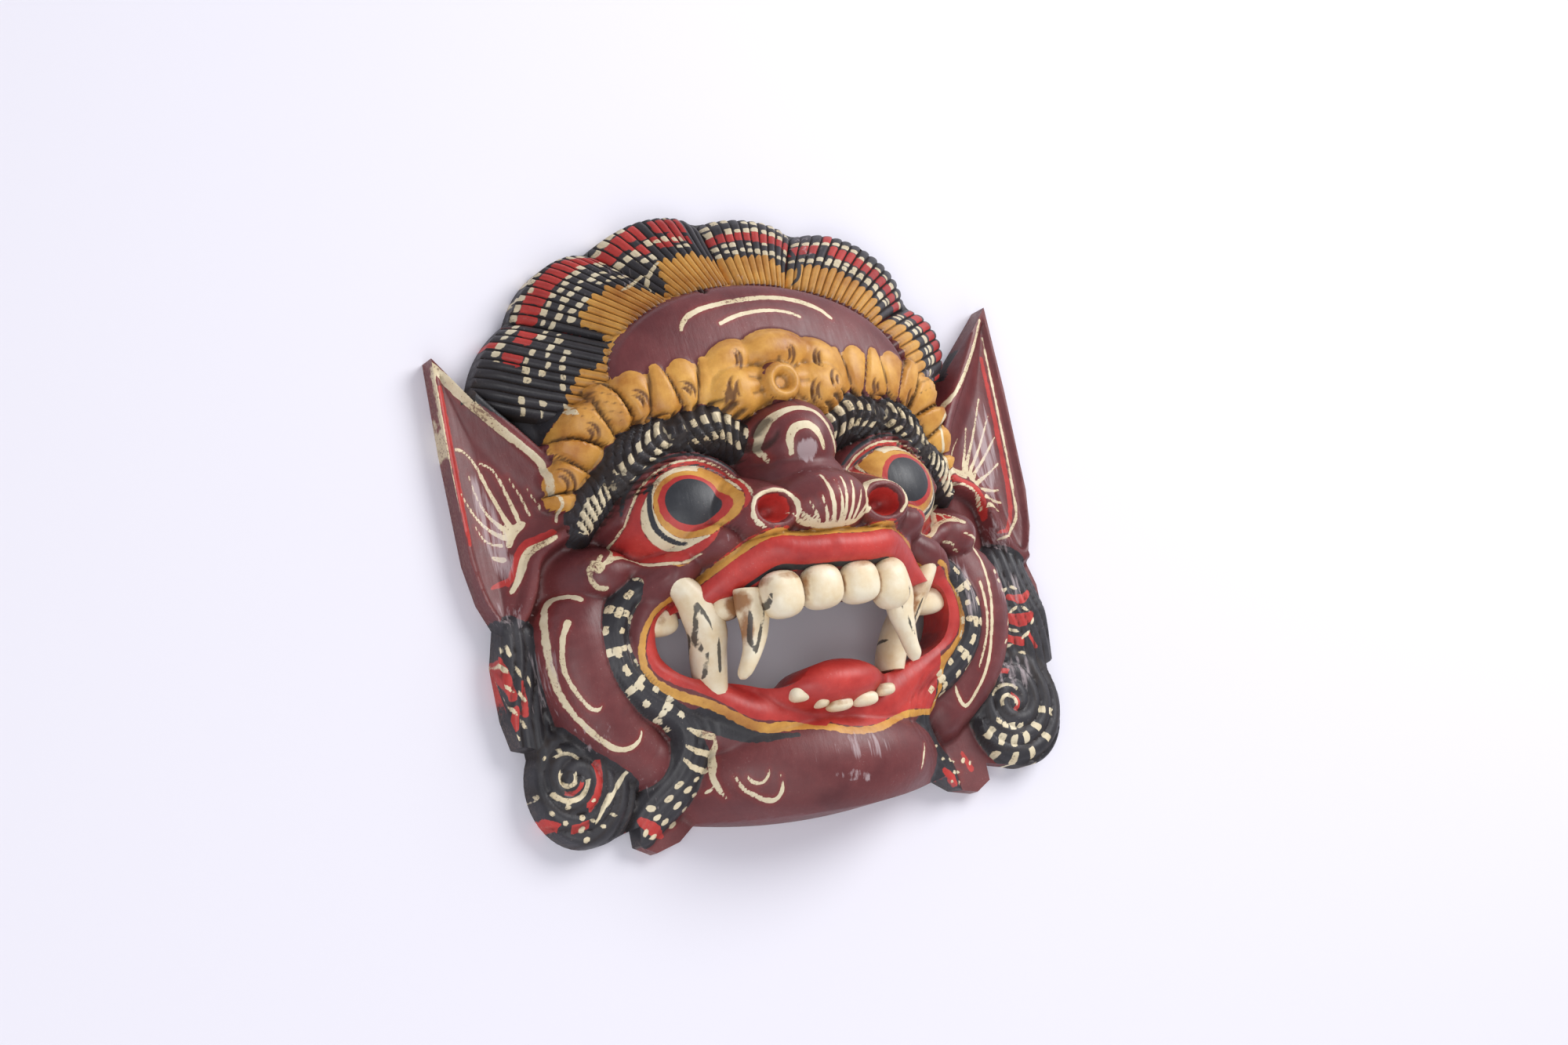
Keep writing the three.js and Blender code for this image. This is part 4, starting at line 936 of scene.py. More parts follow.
# Short marks: [x, y, half length, half width, turn]. First those of the beard's tails.
TAIL_MARKS = {
    -1: [
        (70.3, -113, 2.2, 1.2, -25), (66.2, -115.8, 2, 1.2, -25), (62.3, -118.2, 1.6, 1, -25),
        (74.8, -118, 2.2, 1.3, -30),
        (71, -121.6, 2, 1.2, -30), (66, -123.4, 2, 1, -20), (82.5, -120.8, 2.2, 1.4, 30),
        (80, -125, 2, 1.2, -20),
        (76, -127.4, 2, 1.2, -25), (70, -129, 2.2, 1.2, -20), (85.5, -130.5, 2, 1.2, -60),
        (81.5, -133, 2.4, 1.1, -10),
        (62, -112, 1.8, 0.9, -20), (57.5, -118, 1.4, 0.8, -20),
    ],
    1: [
        (75, -120.5, 1.8, 1, 0), (79.5, -121.5, 1.8, 1, 0), (76, -126.5, 1.8, 0.9, 0),
        (81, -126.5, 1.8, 1, 0),
        (86, -121.5, 1.4, 1, 60), (89.5, -123, 1.2, 0.8, 60), (68, -120, 1.4, 0.8, 0),
        (72, -131, 1.8, 0.9, 10),
        (63, -114, 1.4, 0.8, 0), (70, -113, 1.6, 0.8, 0), (80, -131.5, 1.8, 0.9, 20),
    ],
}
TAIL_RED = {
    -1: [[[87, -125, 1.5], [83.5, -128.5, 2.8], [79.5, -131, 2.2], [76, -133, 1.2]]],
    1: [[[68, -125, 1.2], [73, -129, 2.2], [76, -132, 1.4]], [[86, -118, 1], [89.5, -126, 1.6]]],
}
MISSING = 3  # taken off a dab's half length where the brush left it out
BEARD_ROWS = {"first": 5, "every": 8.2, "half": 1.9, "to": 78}
# Marks of the locks below the ears.
SIDE_MARKS = {
    -1: [
        (139, -42, 2.4, 1.1, 70), (135.5, -44, 3, 0.8, 80), (138.5, -51, 3, 0.9, 60),
        (133, -53, 3.4, 0.8, 75),
        (138, -60, 3.4, 0.8, 50), (133.5, -64, 3, 0.9, 60), (137.5, -70, 3, 0.8, 60),
        (134.5, -76, 3, 0.7, 70),
        (129, -58, 3, 0.6, 80), (137.5, -81, 2, 0.8, 60),
    ],
    1: [
        (110, -38, 1.4, 1.2, 0), (111, -42.5, 1.4, 1.2, 0), (112.5, -47, 1.4, 1.1, 0),
        (119.5, -41, 1.5, 1.1, 0),
        (121, -46, 2.4, 0.9, 30), (127, -45, 2.2, 0.8, -30), (117, -53, 3, 0.8, -50),
        (124, -55.5, 3, 0.8, 30),
        (131, -56, 2.6, 0.8, -40), (114, -62, 2.4, 0.8, 50), (122, -65, 3.4, 0.8, -20),
        (129, -68, 3, 0.8, 30),
        (118, -72, 3, 0.8, 10), (110, -71, 2, 0.8, 40), (125, -76, 2.4, 0.8, -20), (134, -62, 2, 0.8, 50),
    ],
}
SIDE_RED = {
    -1: [[[139.5, -47, 1.4], [138.5, -56, 2.2], [137, -64, 1.8]], [[136.5, -69, 1.4], [138, -77, 1.8]],
         [[132, -58, 0.8], [133, -72, 1.4]]],
    1: [[[119, -58, 1.6], [127, -61, 3.2], [134, -59, 1.8]],
        [[123, -49, 1.4], [130, -51, 2.2], [135, -48, 1.2]],
        [[118, -68, 1.6], [126, -71, 2.2]], [[131, -68, 1.2], [134, -74, 1]]],
}
# Marks of the curls: [radius, first and last direction, half width].
CURL_ARCS = {
    -1: [(3.4, 150, 420, 0.9), (9.2, 190, 330, 1.0), (9.4, 60, 140, 0.7)],
    1: [(3.6, -30, 200, 0.8), (8, 40, 150, 0.7)],
}
CURL_RED_ARCS = {
    -1: [(14.5, 160, 245, 1.9), (20, 250, 275, 1.6), (19.5, 288, 318, 1.7), (6.4, 200, 300, 0.8)],
    1: [(4.6, -60, 60, 0.9), (14, 70, 120, 1.2)],
}
CURL_MARKS = {
    -1: [
        (97.5, -109, 10.5, 1.1, -48), (106, -117, 7.5, 1, -55), (117, -125, 1.6, 1.4, 0),
        (115, -129.5, 1.6, 1.3, 0),
        (116.5, -120, 1.4, 1.2, 0), (124, -121, 1.4, 1.1, 40), (129, -116, 1.4, 1, 50),
        (112, -122, 1.6, 0.9, 20),
        (107, -125, 1.4, 1, 20), (101, -121, 2, 0.9, 30), (122, -114.5, 1.2, 1, 20),
        (110.5, -113.5, 1.4, 0.8, 0),
        (133.5, -108, 1.3, 0.9, 70), (134, -98, 1.3, 0.9, 90), (128, -92, 1.3, 0.8, 130),
        (121, -89.5, 1.4, 0.7, 0),
    ],
    1: [],
}
CURL_SPOKES = {-1: [], 1: [(225, 8, 30), (248, 8, 30), (270, 8, 30), (292, 10, 30), (318, 14, 28),
                           (345, 16, 26)]}

# Rows of dashes across each lock, as shares of its length, with the red patches and the gold root.
# Dashes and patches keep between the shares "t" of the lock's width.
LOCK_PAINT = [
    {"gold": [0.02, 0.27, 0.3, 0.28, 0.24, 0.2, 0.06, 0.02, 0.02, 0.02], "rows": [
        (0.34, 0, 0.75), (0.48, 0, 0.95), (0.61, 0, 0.95), (0.87, 0.45, 1)],
        "red": [(0.66, 0.82, 0.45, 0.93)]},
    {"gold": [0.1, 0.34, 0.4, 0.38, 0.42, 0.4, 0.36, 0.4, 0.34, 0.3, 0.2, 0.1], "rows": [
        (0.46, 0, 1), (0.57, 0, 1), (0.7, 0, 1), (0.93, 0, 1)], "red": [(0.73, 0.9, 0, 1)]},
    {"gold": [0.05, 0.15, 0.28, 0.4, 0.42, 0.38, 0.44, 0.4, 0.42, 0.4, 0.38, 0.36], "rows": [
        (0.5, 0.15, 0.75), (0.63, 0, 0.7), (0.92, 0, 0.7)],
        "red": [(0.56, 0.68, 0.2, 0.78), (0.71, 0.88, 0, 0.8)]},
    {"gold": [0.38, 0.36, 0.4, 0.34, 0.38, 0.36, 0.4, 0.36, 0.3, 0.2], "rows": [
        (0.45, 0, 1), (0.55, 0, 1), (0.76, 0, 1), (0.9, 0, 1)], "red": [(0.6, 0.73, 0, 1)]},
    {"gold": [0.3, 0.36, 0.34, 0.38, 0.34, 0.38, 0.36, 0.34, 0.36, 0.33, 0.36, 0.3, 0.28, 0.2], "rows": [
        (0.44, 0, 1), (0.5, 0.3, 1), (0.76, 0, 1)], "red": [(0.56, 0.72, 0, 1)]},
    {"gold": [0.3, 0.36, 0.34, 0.36, 0.32, 0.3, 0.22, 0.1], "rows": [
        (0.46, 0, 1), (0.56, 0, 0.8)], "red": [(0.66, 0.84, 0.05, 0.95)]},
]
SEED = 11
HAIR_GOLD = {"tip": 2.2, "shift": 0.012}  # pointed ends, and their scatter as a share of the lock
HAIR_DAB = {"half": (0.8, 1.7), "shift": 0.016, "missing": 0.1, "slim": 0.5, "side": 0.4}
HAIR_RED = {"shift": 0.012, "short": 0.2, "some": 0.12}  # some strands' red starts and ends short
RIM_LINES = [[[-42, 117, 0.6], [-50, 112, 0.8], [-57, 109, 0.5]],
             [[-33, 123, 0.4], [-40, 116, 0.9], [-42, 108, 0.5]]]
# between two locks
CRACK = [[52, 138, 0.5], [43, 129, 0.8], [40, 118, 0.8], [35, 110, 0.6], [29, 105.5, 0.4]]


def lock_coordinates(x, y):
    """Which lock a point lies in, and its place there; -1 where there is none."""
    angle = np.arctan2(y - FAN[1], x - FAN[0])
    angle = np.where(angle < -math.pi / 2, angle + 2 * math.pi, angle)
    radius = np.hypot(x - FAN[0], y - FAN[1])
    root = dome_radius(angle)
    lock, s_all, t_all = np.full(x.shape, -1), np.zeros(x.shape), np.zeros(x.shape)
    length = np.ones(x.shape)
    for i in range(len(STRANDS)):
        s = np.full(x.shape, 0.5)
        for _ in range(4):
            edges = lock_edges(i, s)
            t = (angle - edges[0]) / (edges[1] - edges[0])
            rim = lock_rim(i, np.clip(t, 0, 1), t)
            s = (radius - root) / (rim - root)
        here = (t >= 0) & (t <= 1) & (s > -0.03) & (s < 1.08)
        lock[here], s_all[here], t_all[here], length[here] = i, s[here], t[here], (rim - root)[here]
    return lock, s_all, t_all, length


def hair_paint(x, y):
    """Gold roots, cream dashes and red patches of the combed hair, with the lock and its grooves."""
    lock, s, t, length = lock_coordinates(x, y)
    gold, cream, red, recess = [np.full(x.shape, FAR) for _ in range(4)]
    radius = np.hypot(x - FAN[0], y - FAN[1])
    random = np.random.default_rng(SEED)
    for i, paint in enumerate(LOCK_PAINT):
        here = lock == i
        strand = t * STRANDS[i]
        number = np.clip(strand.astype(int), 0, STRANDS[i] - 1)
        q = strand - number
        width = radius * abs(NOTCH_POLAR[i + 1][0] - NOTCH_POLAR[i][0]) / STRANDS[i]
        tip = HAIR_GOLD["tip"] * (0.4 - np.abs(2 * q - 1) ** 2)
        root = np.array(paint["gold"])[number] + random.normal(0, HAIR_GOLD["shift"], STRANDS[i])[number]
        gold = np.where(here, (root - s) * length + tip, gold)
        side = (HAIR_DAB["side"] - np.abs(q - 0.5)) * width
        for row, start, end in paint["rows"]:
            shift = random.normal(0, HAIR_DAB["shift"], STRANDS[i])[number]
            half = random.uniform(*HAIR_DAB["half"], STRANDS[i])[number]
            half = half - MISSING * (random.random(STRANDS[i]) < HAIR_DAB["missing"])[number]
            slim = random.uniform(0, HAIR_DAB["slim"], STRANDS[i])[number]
            dash = np.minimum(half - np.abs(s - row - shift) * length, side - slim)
            cream = np.where(here & (t > start) & (t < end), np.maximum(cream, dash), cream)
        for low, high, start, end in paint["red"]:
            gap = random.normal(0, HAIR_RED["shift"], (2, STRANDS[i]))
            gap = gap + HAIR_RED["short"] * (random.random(STRANDS[i]) < HAIR_RED["some"])
            patch = np.minimum((s - low - gap[0][number]) * length, (high + gap[1][number] - s) * length)
            patch = np.minimum(patch, side + 0.1)
            red = np.where(here & (t > start) & (t < end), np.maximum(red, patch), red)
        recess = np.where(here, groove(strand), recess)
    cream = union(cream, strokes(x, y, RIM_LINES))
    return lock, gold, cream, red, np.where(lock >= 0, recess, 0)


def beard_dashes(t):
    """Bars across the beard, broken by its grooves."""
    along = t["along"] - BEARD_ROWS["first"]
    number = np.round(along / BEARD_ROWS["every"])
    q = (t["offset"] / BEARD_GROOVE["pitch"]) % 1
    strand = np.round(t["offset"] / BEARD_GROOVE["pitch"] - 0.5)
    jitter = np.sin(number * 12.9 + strand * 78.2) * 0.5
    half = BEARD_ROWS["half"] + jitter - MISSING * (np.sin(number * 4.7 + strand * 3.1) > 0.82)
    side = (0.4 - np.abs(q - 0.5)) * BEARD_GROOVE["pitch"]
    bars = np.minimum(half - np.abs(along - number * BEARD_ROWS["every"] - jitter), side)
    return np.where((along > -4) & (along < BEARD_ROWS["to"]) & (strand > -3) & (strand < 3), bars, FAR)


def brow_dashes(u, y):
    """Two rows of cream dashes, one on each combed ridge of the brow lobes."""
    found = []
    for number, (lobe, shape) in enumerate(zip(BROW_LOBES, BROW_GROOVES)):
        t = track(lobe, u, y, 18)
        phase = brow_phase(t, shape)
        ridge = np.floor(phase)
        jitter = np.sin(ridge * 7.3 + number * 2.1)
        side = (0.3 + 0.04 * jitter - np.abs(phase % 1 - 0.5)) * shape["pitch"]
        within = (t["distance"] < 12) & (t["run"] > -3.5) & (t["run"] < t["length"] + 3)
        for offset, half in shape["rows"]:
            dash = half + 0.5 * jitter - np.abs(t["offset"] - offset - 0.6 * jitter) - 0.25 * np.abs(side)
            found.append(np.where(within, np.minimum(dash, side), FAR))
    return union(*found)


def marks(x, y, list_of_marks):
    """Short dabs of a brush: [x, y, half length, half width, turn]."""
    found = [np.full(x.shape, FAR)]
    for at_x, at_y, length, half, turn in list_of_marks:
        found.append(blob(x, y, (at_x, at_y), (length, half), -turn))
    return union(*found)


def arcs(radius, direction, list_of_arcs):
    found = [np.full(radius.shape, FAR)]
    for at, start, end, half in list_of_arcs:
        within = (direction - start) % 360 < end - start
        found.append(np.where(within, half - np.abs(radius - at), FAR))
    return union(*found)


def spokes(radius, direction, turns, list_of_spokes):
    """Rows of dabs that cross the ridges of a curl."""
    found = [np.full(radius.shape, FAR)]
    side = (0.34 - np.abs(turns % 1 - 0.5)) * CURL_PITCH
    for at, start, end in list_of_spokes:
        gap = np.abs((direction - at + 180) % 360 - 180) * radius * math.pi / 180
        found.append(np.where((radius > start) & (radius < end), np.minimum(1.5 - gap, side), FAR))
    return union(*found)


def curl_paint(side, u, y):
    radius, direction, turns = curl_polar(side, u, y)
    cream = union(arcs(radius, direction, CURL_ARCS[side]), marks(u, y, CURL_MARKS[side]),
                  spokes(radius, direction, turns, CURL_SPOKES[side]))
    return cream, arcs(radius, direction, CURL_RED_ARCS[side]), groove(turns)


def owned(height, top, margin=1.2):
    """Above 0 where a volume is the one that shows. `top` is the relief's height."""
    return (height - top + margin) * OWNED_SLOPE


def lobe_area(u, y, lobe):
    t = track(lobe, u, y, 16)
    return t["values"][:, 3] + 0.8 - t["distance"]


def half_paint(side, x, y, top):
    """The colours that are made once for each side, as layers. `top` is the relief's height."""
    u = x * side
    rx, ry = upright(x - RIM_SHIFT, y, RIM_LEAN)
    rim_u = rx * side
    mx, my = upright(x, y, MOUTH_LEAN, NOSE_PIVOT)
    mouth_u = mx * side

    almond, sclera = area(u, y, ALMOND), area(u, y, SCLERA)
    pupil, red_ring, yellow_ring = [blob(u, y, *EYE_RINGS[name]) for name in ("pupil", "red", "yellow")]
    yellow_eye = np.minimum(union(yellow_ring, area(u, y, EYE_CORNER, 2)), sclera)

    brow_height = np.maximum.reduce([roll(u, y, lobe, DROP["brow"]) for lobe in BROW_LOBES])
    brow = np.minimum(union(*[lobe_area(u, y, lobe) for lobe in BROW_LOBES]), owned(brow_height, top))
    beard = track(BEARD, mouth_u, my, 20)
    beard_area = np.minimum(beard["values"][:, 3] + 1 - beard["distance"],
                            owned(roll(mouth_u, my, BEARD, DROP["beard"]), top))
    side_lock = track(SIDE_LOCK[side], rim_u, ry, 24)
    side_area = np.minimum(side_lock["values"][:, 3] + 2 - side_lock["distance"],
                           owned(roll(rim_u, ry, SIDE_LOCK[side], DROP["side_lock"]), top, 2.8))
    curl_area = np.minimum(blob(rim_u, ry, CURL["at"], (CURL["size"][0] + 1, CURL["size"][1] + 1)),
                           owned(cap(rim_u, ry, **CURL), top, 3.5))
    black = union(brow, beard_area, side_area, curl_area, stroke(u, y, BEARD_TO_CHIN))

    lip = track(UPPER_LIP, mouth_u, my, 20)
    lip_area = np.where(mouth_u > -1, lip["values"][:, 3] + 1 - lip["distance"], FAR)
    lip_yellow = np.minimum.reduce([lip["offset"] - LIP_YELLOW[0], LIP_YELLOW[1] - lip["offset"],
                                    lip_area + 1.5])
    gum = np.minimum(-lip["offset"] - GUM[0], GUM[1] + lip["offset"])
    gum = np.where(mouth_u > -1, np.minimum(gum, GUM_LENGTH - lip["along"]), FAR)

    crown = track(CROWN_BAND, u, y, 20)
    crown_area = np.minimum(crown["values"][:, 3] + 3.5 - crown["distance"],
                            owned(crown_band(u, y), top, 1.6))

    in_crown = (crown_area > 0) & (crown["distance"] < 15)

    dash = union(np.minimum(brow_dashes(u, y), brow), np.minimum(beard_dashes(beard), beard_area))
    curl_cream, curl_red, curl_recess = curl_paint(side, u, y)
    nostril = NOSTRIL["hole"] - 0.3 - nostril_radius(side, mx, my)
    return {
        "black": cut(black, crown_area),
        "gold": union(crown_area, yellow_eye, strokes(u, y, [*LID_GOLD, LOWER_YELLOW]), lip_yellow),
        "red": union(cut(almond, sclera), red_ring, cut(lip_area, lip_yellow, gum), area(u, y, MOUTH_RED),
                     nostril, strokes(u, y, EAR_RED[side] + TAIL_RED[side] + SIDE_RED[side]),
                     np.minimum(curl_red, curl_area)),
        "cream": union(cut(sclera, yellow_ring, yellow_eye), strokes(u, y, LID_CREAM), dash,
                       stroke(u, y, NOSTRIL_RING), np.minimum(curl_cream, curl_area),
                       marks(u, y, TAIL_MARKS[side] + SIDE_MARKS[side]),
                       strokes(u, y, CHEEKBONE_STROKES[side] + CHEEK_STROKES[side] + EAR_STROKES[side]
                               + EAR_EDGE_STROKES[side])),
        "ink": union(pupil, stroke(u, y, EYE_ARC), strokes(u, y, LID_LINES), gum),
        "recess": np.where(in_crown, 1 - ramp(crown_lobe(crown)[1], 0.2, 1.4), 0)
                  + np.where(curl_area > 0, curl_recess, 0)
                  + np.where(side_area > 0, groove(side_lock_phase(rim_u, ry)), 0),
    }


def middle_gold(x, y, top):
    """The crown's flower and arch."""
    found = []
    for volume in CROWN_CAPS:
        grown = (volume["size"][0] + 1, volume["size"][1] + 1)
        found.append(np.minimum(blob(x, y, volume["at"], grown, volume.get("turn", 0)),
                                owned(cap(x, y, **volume), top, 1.5)))
    return union(*found, blob(x, y, FLOWER_BOSS["at"], (FLOWER["from"], FLOWER["from"])))


# Where the paint is rubbed thin, and painted highlights on the forehead ball and the chin, as [x, y, half
# sizes, turn, strength].
WORN_AND_HIGHLIGHTS = [
    (-3, 20, 6, 7, 0, 1), (12, -110, 20, 8, 4, 0.5), (5, -123, 14, 3.5, 12, 0.55),
    (-131, 10, 8, 34, -8, 0.75),
    (-131, -28, 8, 14, 0, 0.5), (132, 20, 9, 34, 8, 0.8), (128, -18, 10, 12, 0, 0.6),
    (-90, -50, 7, 18, 0, 0.3),
    (-78, -112, 14, 10, 30, 0.35), (88, -45, 7, 22, 0, 0.6), (120, -45, 16, 14, 0, 0.55),
    (118, -85, 16, 12, 0, 0.5),
    (-125, -62, 9, 22, 0, 0.45), (-108, -88, 14, 8, 20, 0.4), (-45, -15, 9, 5, 20, 0.25),
    (0, 8, 20, 7, 0, 0.3),
    (-5, 110, 22, 5, 0, 0.35), (52, 130, 14, 10, -30, 0.35), (100, 55, 12, 10, 0, 0.5),
    (70, 10, 8, 10, 0, 0.35),
    (-50, 118, 12, 8, 30, 0.4), (105, -20, 12, 8, 0, 0.4), (88, 10, 10, 8, 0, 0.4),
]
# Brown stain on the teeth, with painted shade under the upper lip and in the gaps between teeth, in the same
# terms.
STAIN_AND_SHADE = [
    (-45, -42, 5, 6, 0, 1), (-44.5, -53, 2.4, 12, 0, 1), (-37, -33, 3, 6, 0, 0.8), (-54, -33, 7, 2, 35, 0.6),
    (-18.6, -42, 1.3, 12, 0, 0.8),
    (0.2, -41, 1.2, 12, 0, 0.8), (19, -42, 1.3, 12, 0, 0.8), (50, -55, 2.2, 18, 4, 0.9),
    (-73, -41, 5, 4, 0, 0.5),
    (35.5, -41, 2, 10, 0, 0.7), (4, -90, 12, 2.5, 0, 0.6), (56, -44, 8, 6, 0, 0.6),
    (-28, -35, 20, 2.4, 0, 0.6),
    (10, -33.5, 24, 2.4, 0, 0.6), (25, -86, 8, 2, 20, 0.5),
]
TOOTH_INK = [
    [[-62.2, -38.3, 0.6], [-61.8, -45, 0.8], [-61, -52, 0.6]],
    [[-61.4, -38.6, 0.5], [-56.5, -47, 0.8], [-52.8, -56, 0.9], [-51.8, -62, 0.9], [-51.4, -68.5, 0.7]],
    [[-61, -52, 0.6], [-58.5, -58.5, 0.7], [-57, -60, 0.6]], [[-56.9, -59.5, 0.6], [-57, -70, 0.9]],
    [[-42, -41.8, 0.6], [-43.6, -51, 1], [-44.3, -59.8, 0.8]],
    [[-36, -41.6, 0.5], [-38.6, -53, 0.9], [-42.6, -65, 0.7]],
    [[-44.3, -59.8, 0.8], [-43, -63.5, 0.8], [-42.6, -65, 0.6]],
    [[55.5, -47, 0.5], [51, -57, 0.9], [45.5, -67, 0.8]], [[32, -46, 0.4], [35, -57, 0.7], [39, -66, 0.6]],
]


def soft_marks(x, y, list_of_marks):
    """Soft patches, 0 to 1."""
    found = np.zeros(x.shape)
    for at_x, at_y, half_x, half_y, turn, strength in list_of_marks:
        u, v = upright(x - at_x, y - at_y, turn)
        found = np.maximum(found, strength * (1 - ramp(np.hypot(u / half_x, v / half_y), 0.45, 1.15)))
    return found


def paint(x, y):
    lock, hair_gold, hair_cream, hair_red, hair_recess = hair_paint(x, y)
    top = relief(x, y)
    layers = {name: np.full(x.shape, FAR) for name in ("black", "gold", "red", "cream", "ink")}
    layers["recess"] = np.zeros(x.shape)
    for side in (-1, 1):
        near = np.flatnonzero(x * side > -PAINT_OVERLAP)
        half = half_paint(side, x[near], y[near], top[near])
        for name, value in half.items():
            layers[name][near] = np.maximum(layers[name][near], value)
    hair = np.where(lock >= 0, 6.0, FAR)
    below = area(x, y, BELOW_LOCK)
    layers["black"] = union(layers["black"], hair, np.where(layers["gold"] > 0, FAR, below))
    layers["gold"] = union(layers["gold"], middle_gold(x, y, top), np.where(hair > 0, hair_gold, FAR),
                           stroke(x, y, LOWER_YELLOW_LEFT), stroke(x, y, LOWER_YELLOW_RIGHT))
    layers["red"] = union(layers["red"], hair_red, area(x, y, MOUTH_RED_RIGHT))
    layers["cream"] = union(layers["cream"], hair_cream,
                            strokes(x, y, DOME_STROKES + BALL_STROKES + WHISKERS + CHIN_STROKES + ZIGZAG))
    layers["ink"] = union(layers["ink"], stroke(x, y, CRACK))
    # How deep a point lies in a groove or cut. The wood's material darkens it there as painted shade.
    layers["recess"] = np.clip(np.maximum(layers["recess"], hair_recess) + fine_cuts(x, y) / 1.6, 0, 1)
    # Worn paint, and painted highlights on the forehead ball and the chin.
    layers["worn_and_highlight"] = soft_marks(x, y, WORN_AND_HIGHLIGHTS)
    # Brown stain on the teeth, and painted shade under the upper lip and in the gaps between teeth.
    layers["stain_and_shade"] = soft_marks(x, y, STAIN_AND_SHADE)
    layers["tooth_ink"] = strokes(x, y, TOOTH_INK)
    layers["gouge"] = gouges(x, y)
    return layers


# ---------------------------------------------------------------- the finished piece

MILLIMETRE = 0.001  # metres
SHARP = 50  # degrees between two facets above which their edge stays sharp


def to_frame(mesh, outline):
    """From design millimetres to the frame's metres, centred on the solid's box."""
    middle = (outline.min(0) + outline.max(0)) / 2
    box = np.array(CAD_BOX)
    at = (box[0] + box[1]) / 2
    mesh.transform(Matrix.Translation((at[0], at[1], 0)) @ Matrix.Scale(MILLIMETRE, 4)
                   @ Matrix.Translation((-middle[0], -middle[1], 0)))


def store(mesh, name, values):
    layer = mesh.attributes.new(name, "FLOAT", "POINT")
    layer.data.foreach_set("value", np.asarray(values, np.float32))


def build_mask():
    mask, outline = carve()
    mesh = mask.data
    points = np.empty(3 * len(mesh.vertices), np.float32)
    mesh.vertices.foreach_get("co", points)
    x, y = points.reshape(-1, 3).T[:2].astype(float)
    for name, value in paint(x, y).items():
        store(mesh, name, value)
    mesh.polygons.foreach_set("use_smooth", np.ones(len(mesh.polygons), bool))
    mesh.set_sharp_from_angle(angle=math.radians(SHARP))
    to_frame(mesh, outline)
    mask.name = mesh.name = "carved_mask"
    return mask


# ---------------------------------------------------------------- materials

def node(tree, kind, inputs=None, **settings):
    made = tree.nodes.new(kind)
    for name, value in settings.items():
        setattr(made, name, value)
    for key, value in (inputs or {}).items():
        if isinstance(value, bpy.types.NodeSocket):
            tree.links.new(value, made.inputs[key])
        else:
            made.inputs[key].default_value = value
    return made


def noise(tree, place, scale, detail=3.0, roughness=0.5):
    return node(tree, "ShaderNodeTexNoise", {"Vector": place, "Scale": scale, "Detail": detail,
                                             "Roughness": roughness}).outputs["Fac"]


def remap(tree, value, low, high, to_low=0.0, to_high=1.0):
    return node(tree, "ShaderNodeMapRange", {"Value": value, "From Min": low, "From Max": high,
                                             "To Min": to_low, "To Max": to_high}).outputs["Result"]


def math_node(tree, operation, a, b):
    return node(tree, "ShaderNodeMath", {0: a, 1: b}, operation=operation).outputs[0]


def mix(tree, amount, under, over):
    made = node(tree, "ShaderNodeMix", data_type="RGBA")
    for socket, value in ((made.inputs[0], amount), (made.inputs[6], under), (made.inputs[7], over)):
        if isinstance(value, bpy.types.NodeSocket):
            tree.links.new(value, socket)
        else:
            socket.default_value = value
    return made.outputs[2]


def colour(red, green, blue):
    """An sRGB colour, 0 to 255, as the linear values that a shader takes."""
    def linear(v):
        v /= 255
        return v / 12.92 if v < 0.04045 else ((v + 0.055) / 1.055) ** 2.4
    return (linear(red), linear(green), linear(blue), 1.0)


def attribute(tree, name):
    return node(tree, "ShaderNodeAttribute", attribute_name=name).outputs["Fac"]


def new_material(name):
    material = bpy.data.materials.new(name)
    material.use_nodes = True
    tree = material.node_tree
    place = node(tree, "ShaderNodeTexCoord").outputs["Object"]
    return material, tree, tree.nodes["Principled BSDF"], place


def streaks(tree, place, scale, across=1.0, along=0.07):
    """Noise that is drawn out along the wood's grain, which runs from the hair to the chin."""
    stretched = node(tree, "ShaderNodeMapping",
                     {"Vector": place, "Scale": (across, along, across)}).outputs[0]
    return noise(tree, stretched, scale, 4.0, 0.6)


def add_bump(tree, shader, height, distance, strength):
    bump = node(tree, "ShaderNodeBump", {"Height": height, "Distance": distance, "Strength": strength})
    tree.links.new(bump.outputs["Normal"], shader.inputs["Normal"])


def hollows(tree, low, high):
    """1 in the sharp hollows of the carving, 0 elsewhere."""
    return remap(tree, node(tree, "ShaderNodeNewGeometry").outputs["Pointiness"], high, low)


# Each paint's darkest and lightest colour, and how far its edge wavers in millimetres.
PAINTS = [
    ("black", (34, 33, 36), (58, 56, 60), 0.5), ("gold", (168, 104, 34), (232, 176, 84), 0.5),
    ("red", (158, 36, 34), (206, 66, 58), 0.35), ("cream", (206, 186, 146), (240, 228, 196), 0.28),
    ("ink", (38, 40, 44), (56, 58, 62), 0.14),
]
MAROON = ((92, 40, 42), (118, 56, 56))
# colour of the painted shade in the grooves, cuts and sharp hollows of the carving
HOLLOW_SHADE = (38, 26, 20)
CREAM_HALO = (150, 44, 38)
GOUGED = (92, 52, 18)
# colour of rubbed paint, also used for painted highlights on the forehead ball and the chin
RUBBED_AND_HIGHLIGHT = (206, 190, 192)
BARE_EDGE = (170, 140, 124)
DUST = (196, 180, 170)
TOOTH = ((240, 228, 200), (222, 196, 150))
# brown of the stain and of the painted shade on the teeth
TOOTH_STAIN_AND_SHADE = (150, 96, 48)
TOOTH_LINE = (52, 50, 46)
# colour of the painted shade in the sharp hollows of the teeth
TOOTH_HOLLOW_SHADE = (120, 74, 36)
BARE_WOOD = ((108, 76, 50), (168, 130, 92))
DARK_BAND = (84, 58, 40)


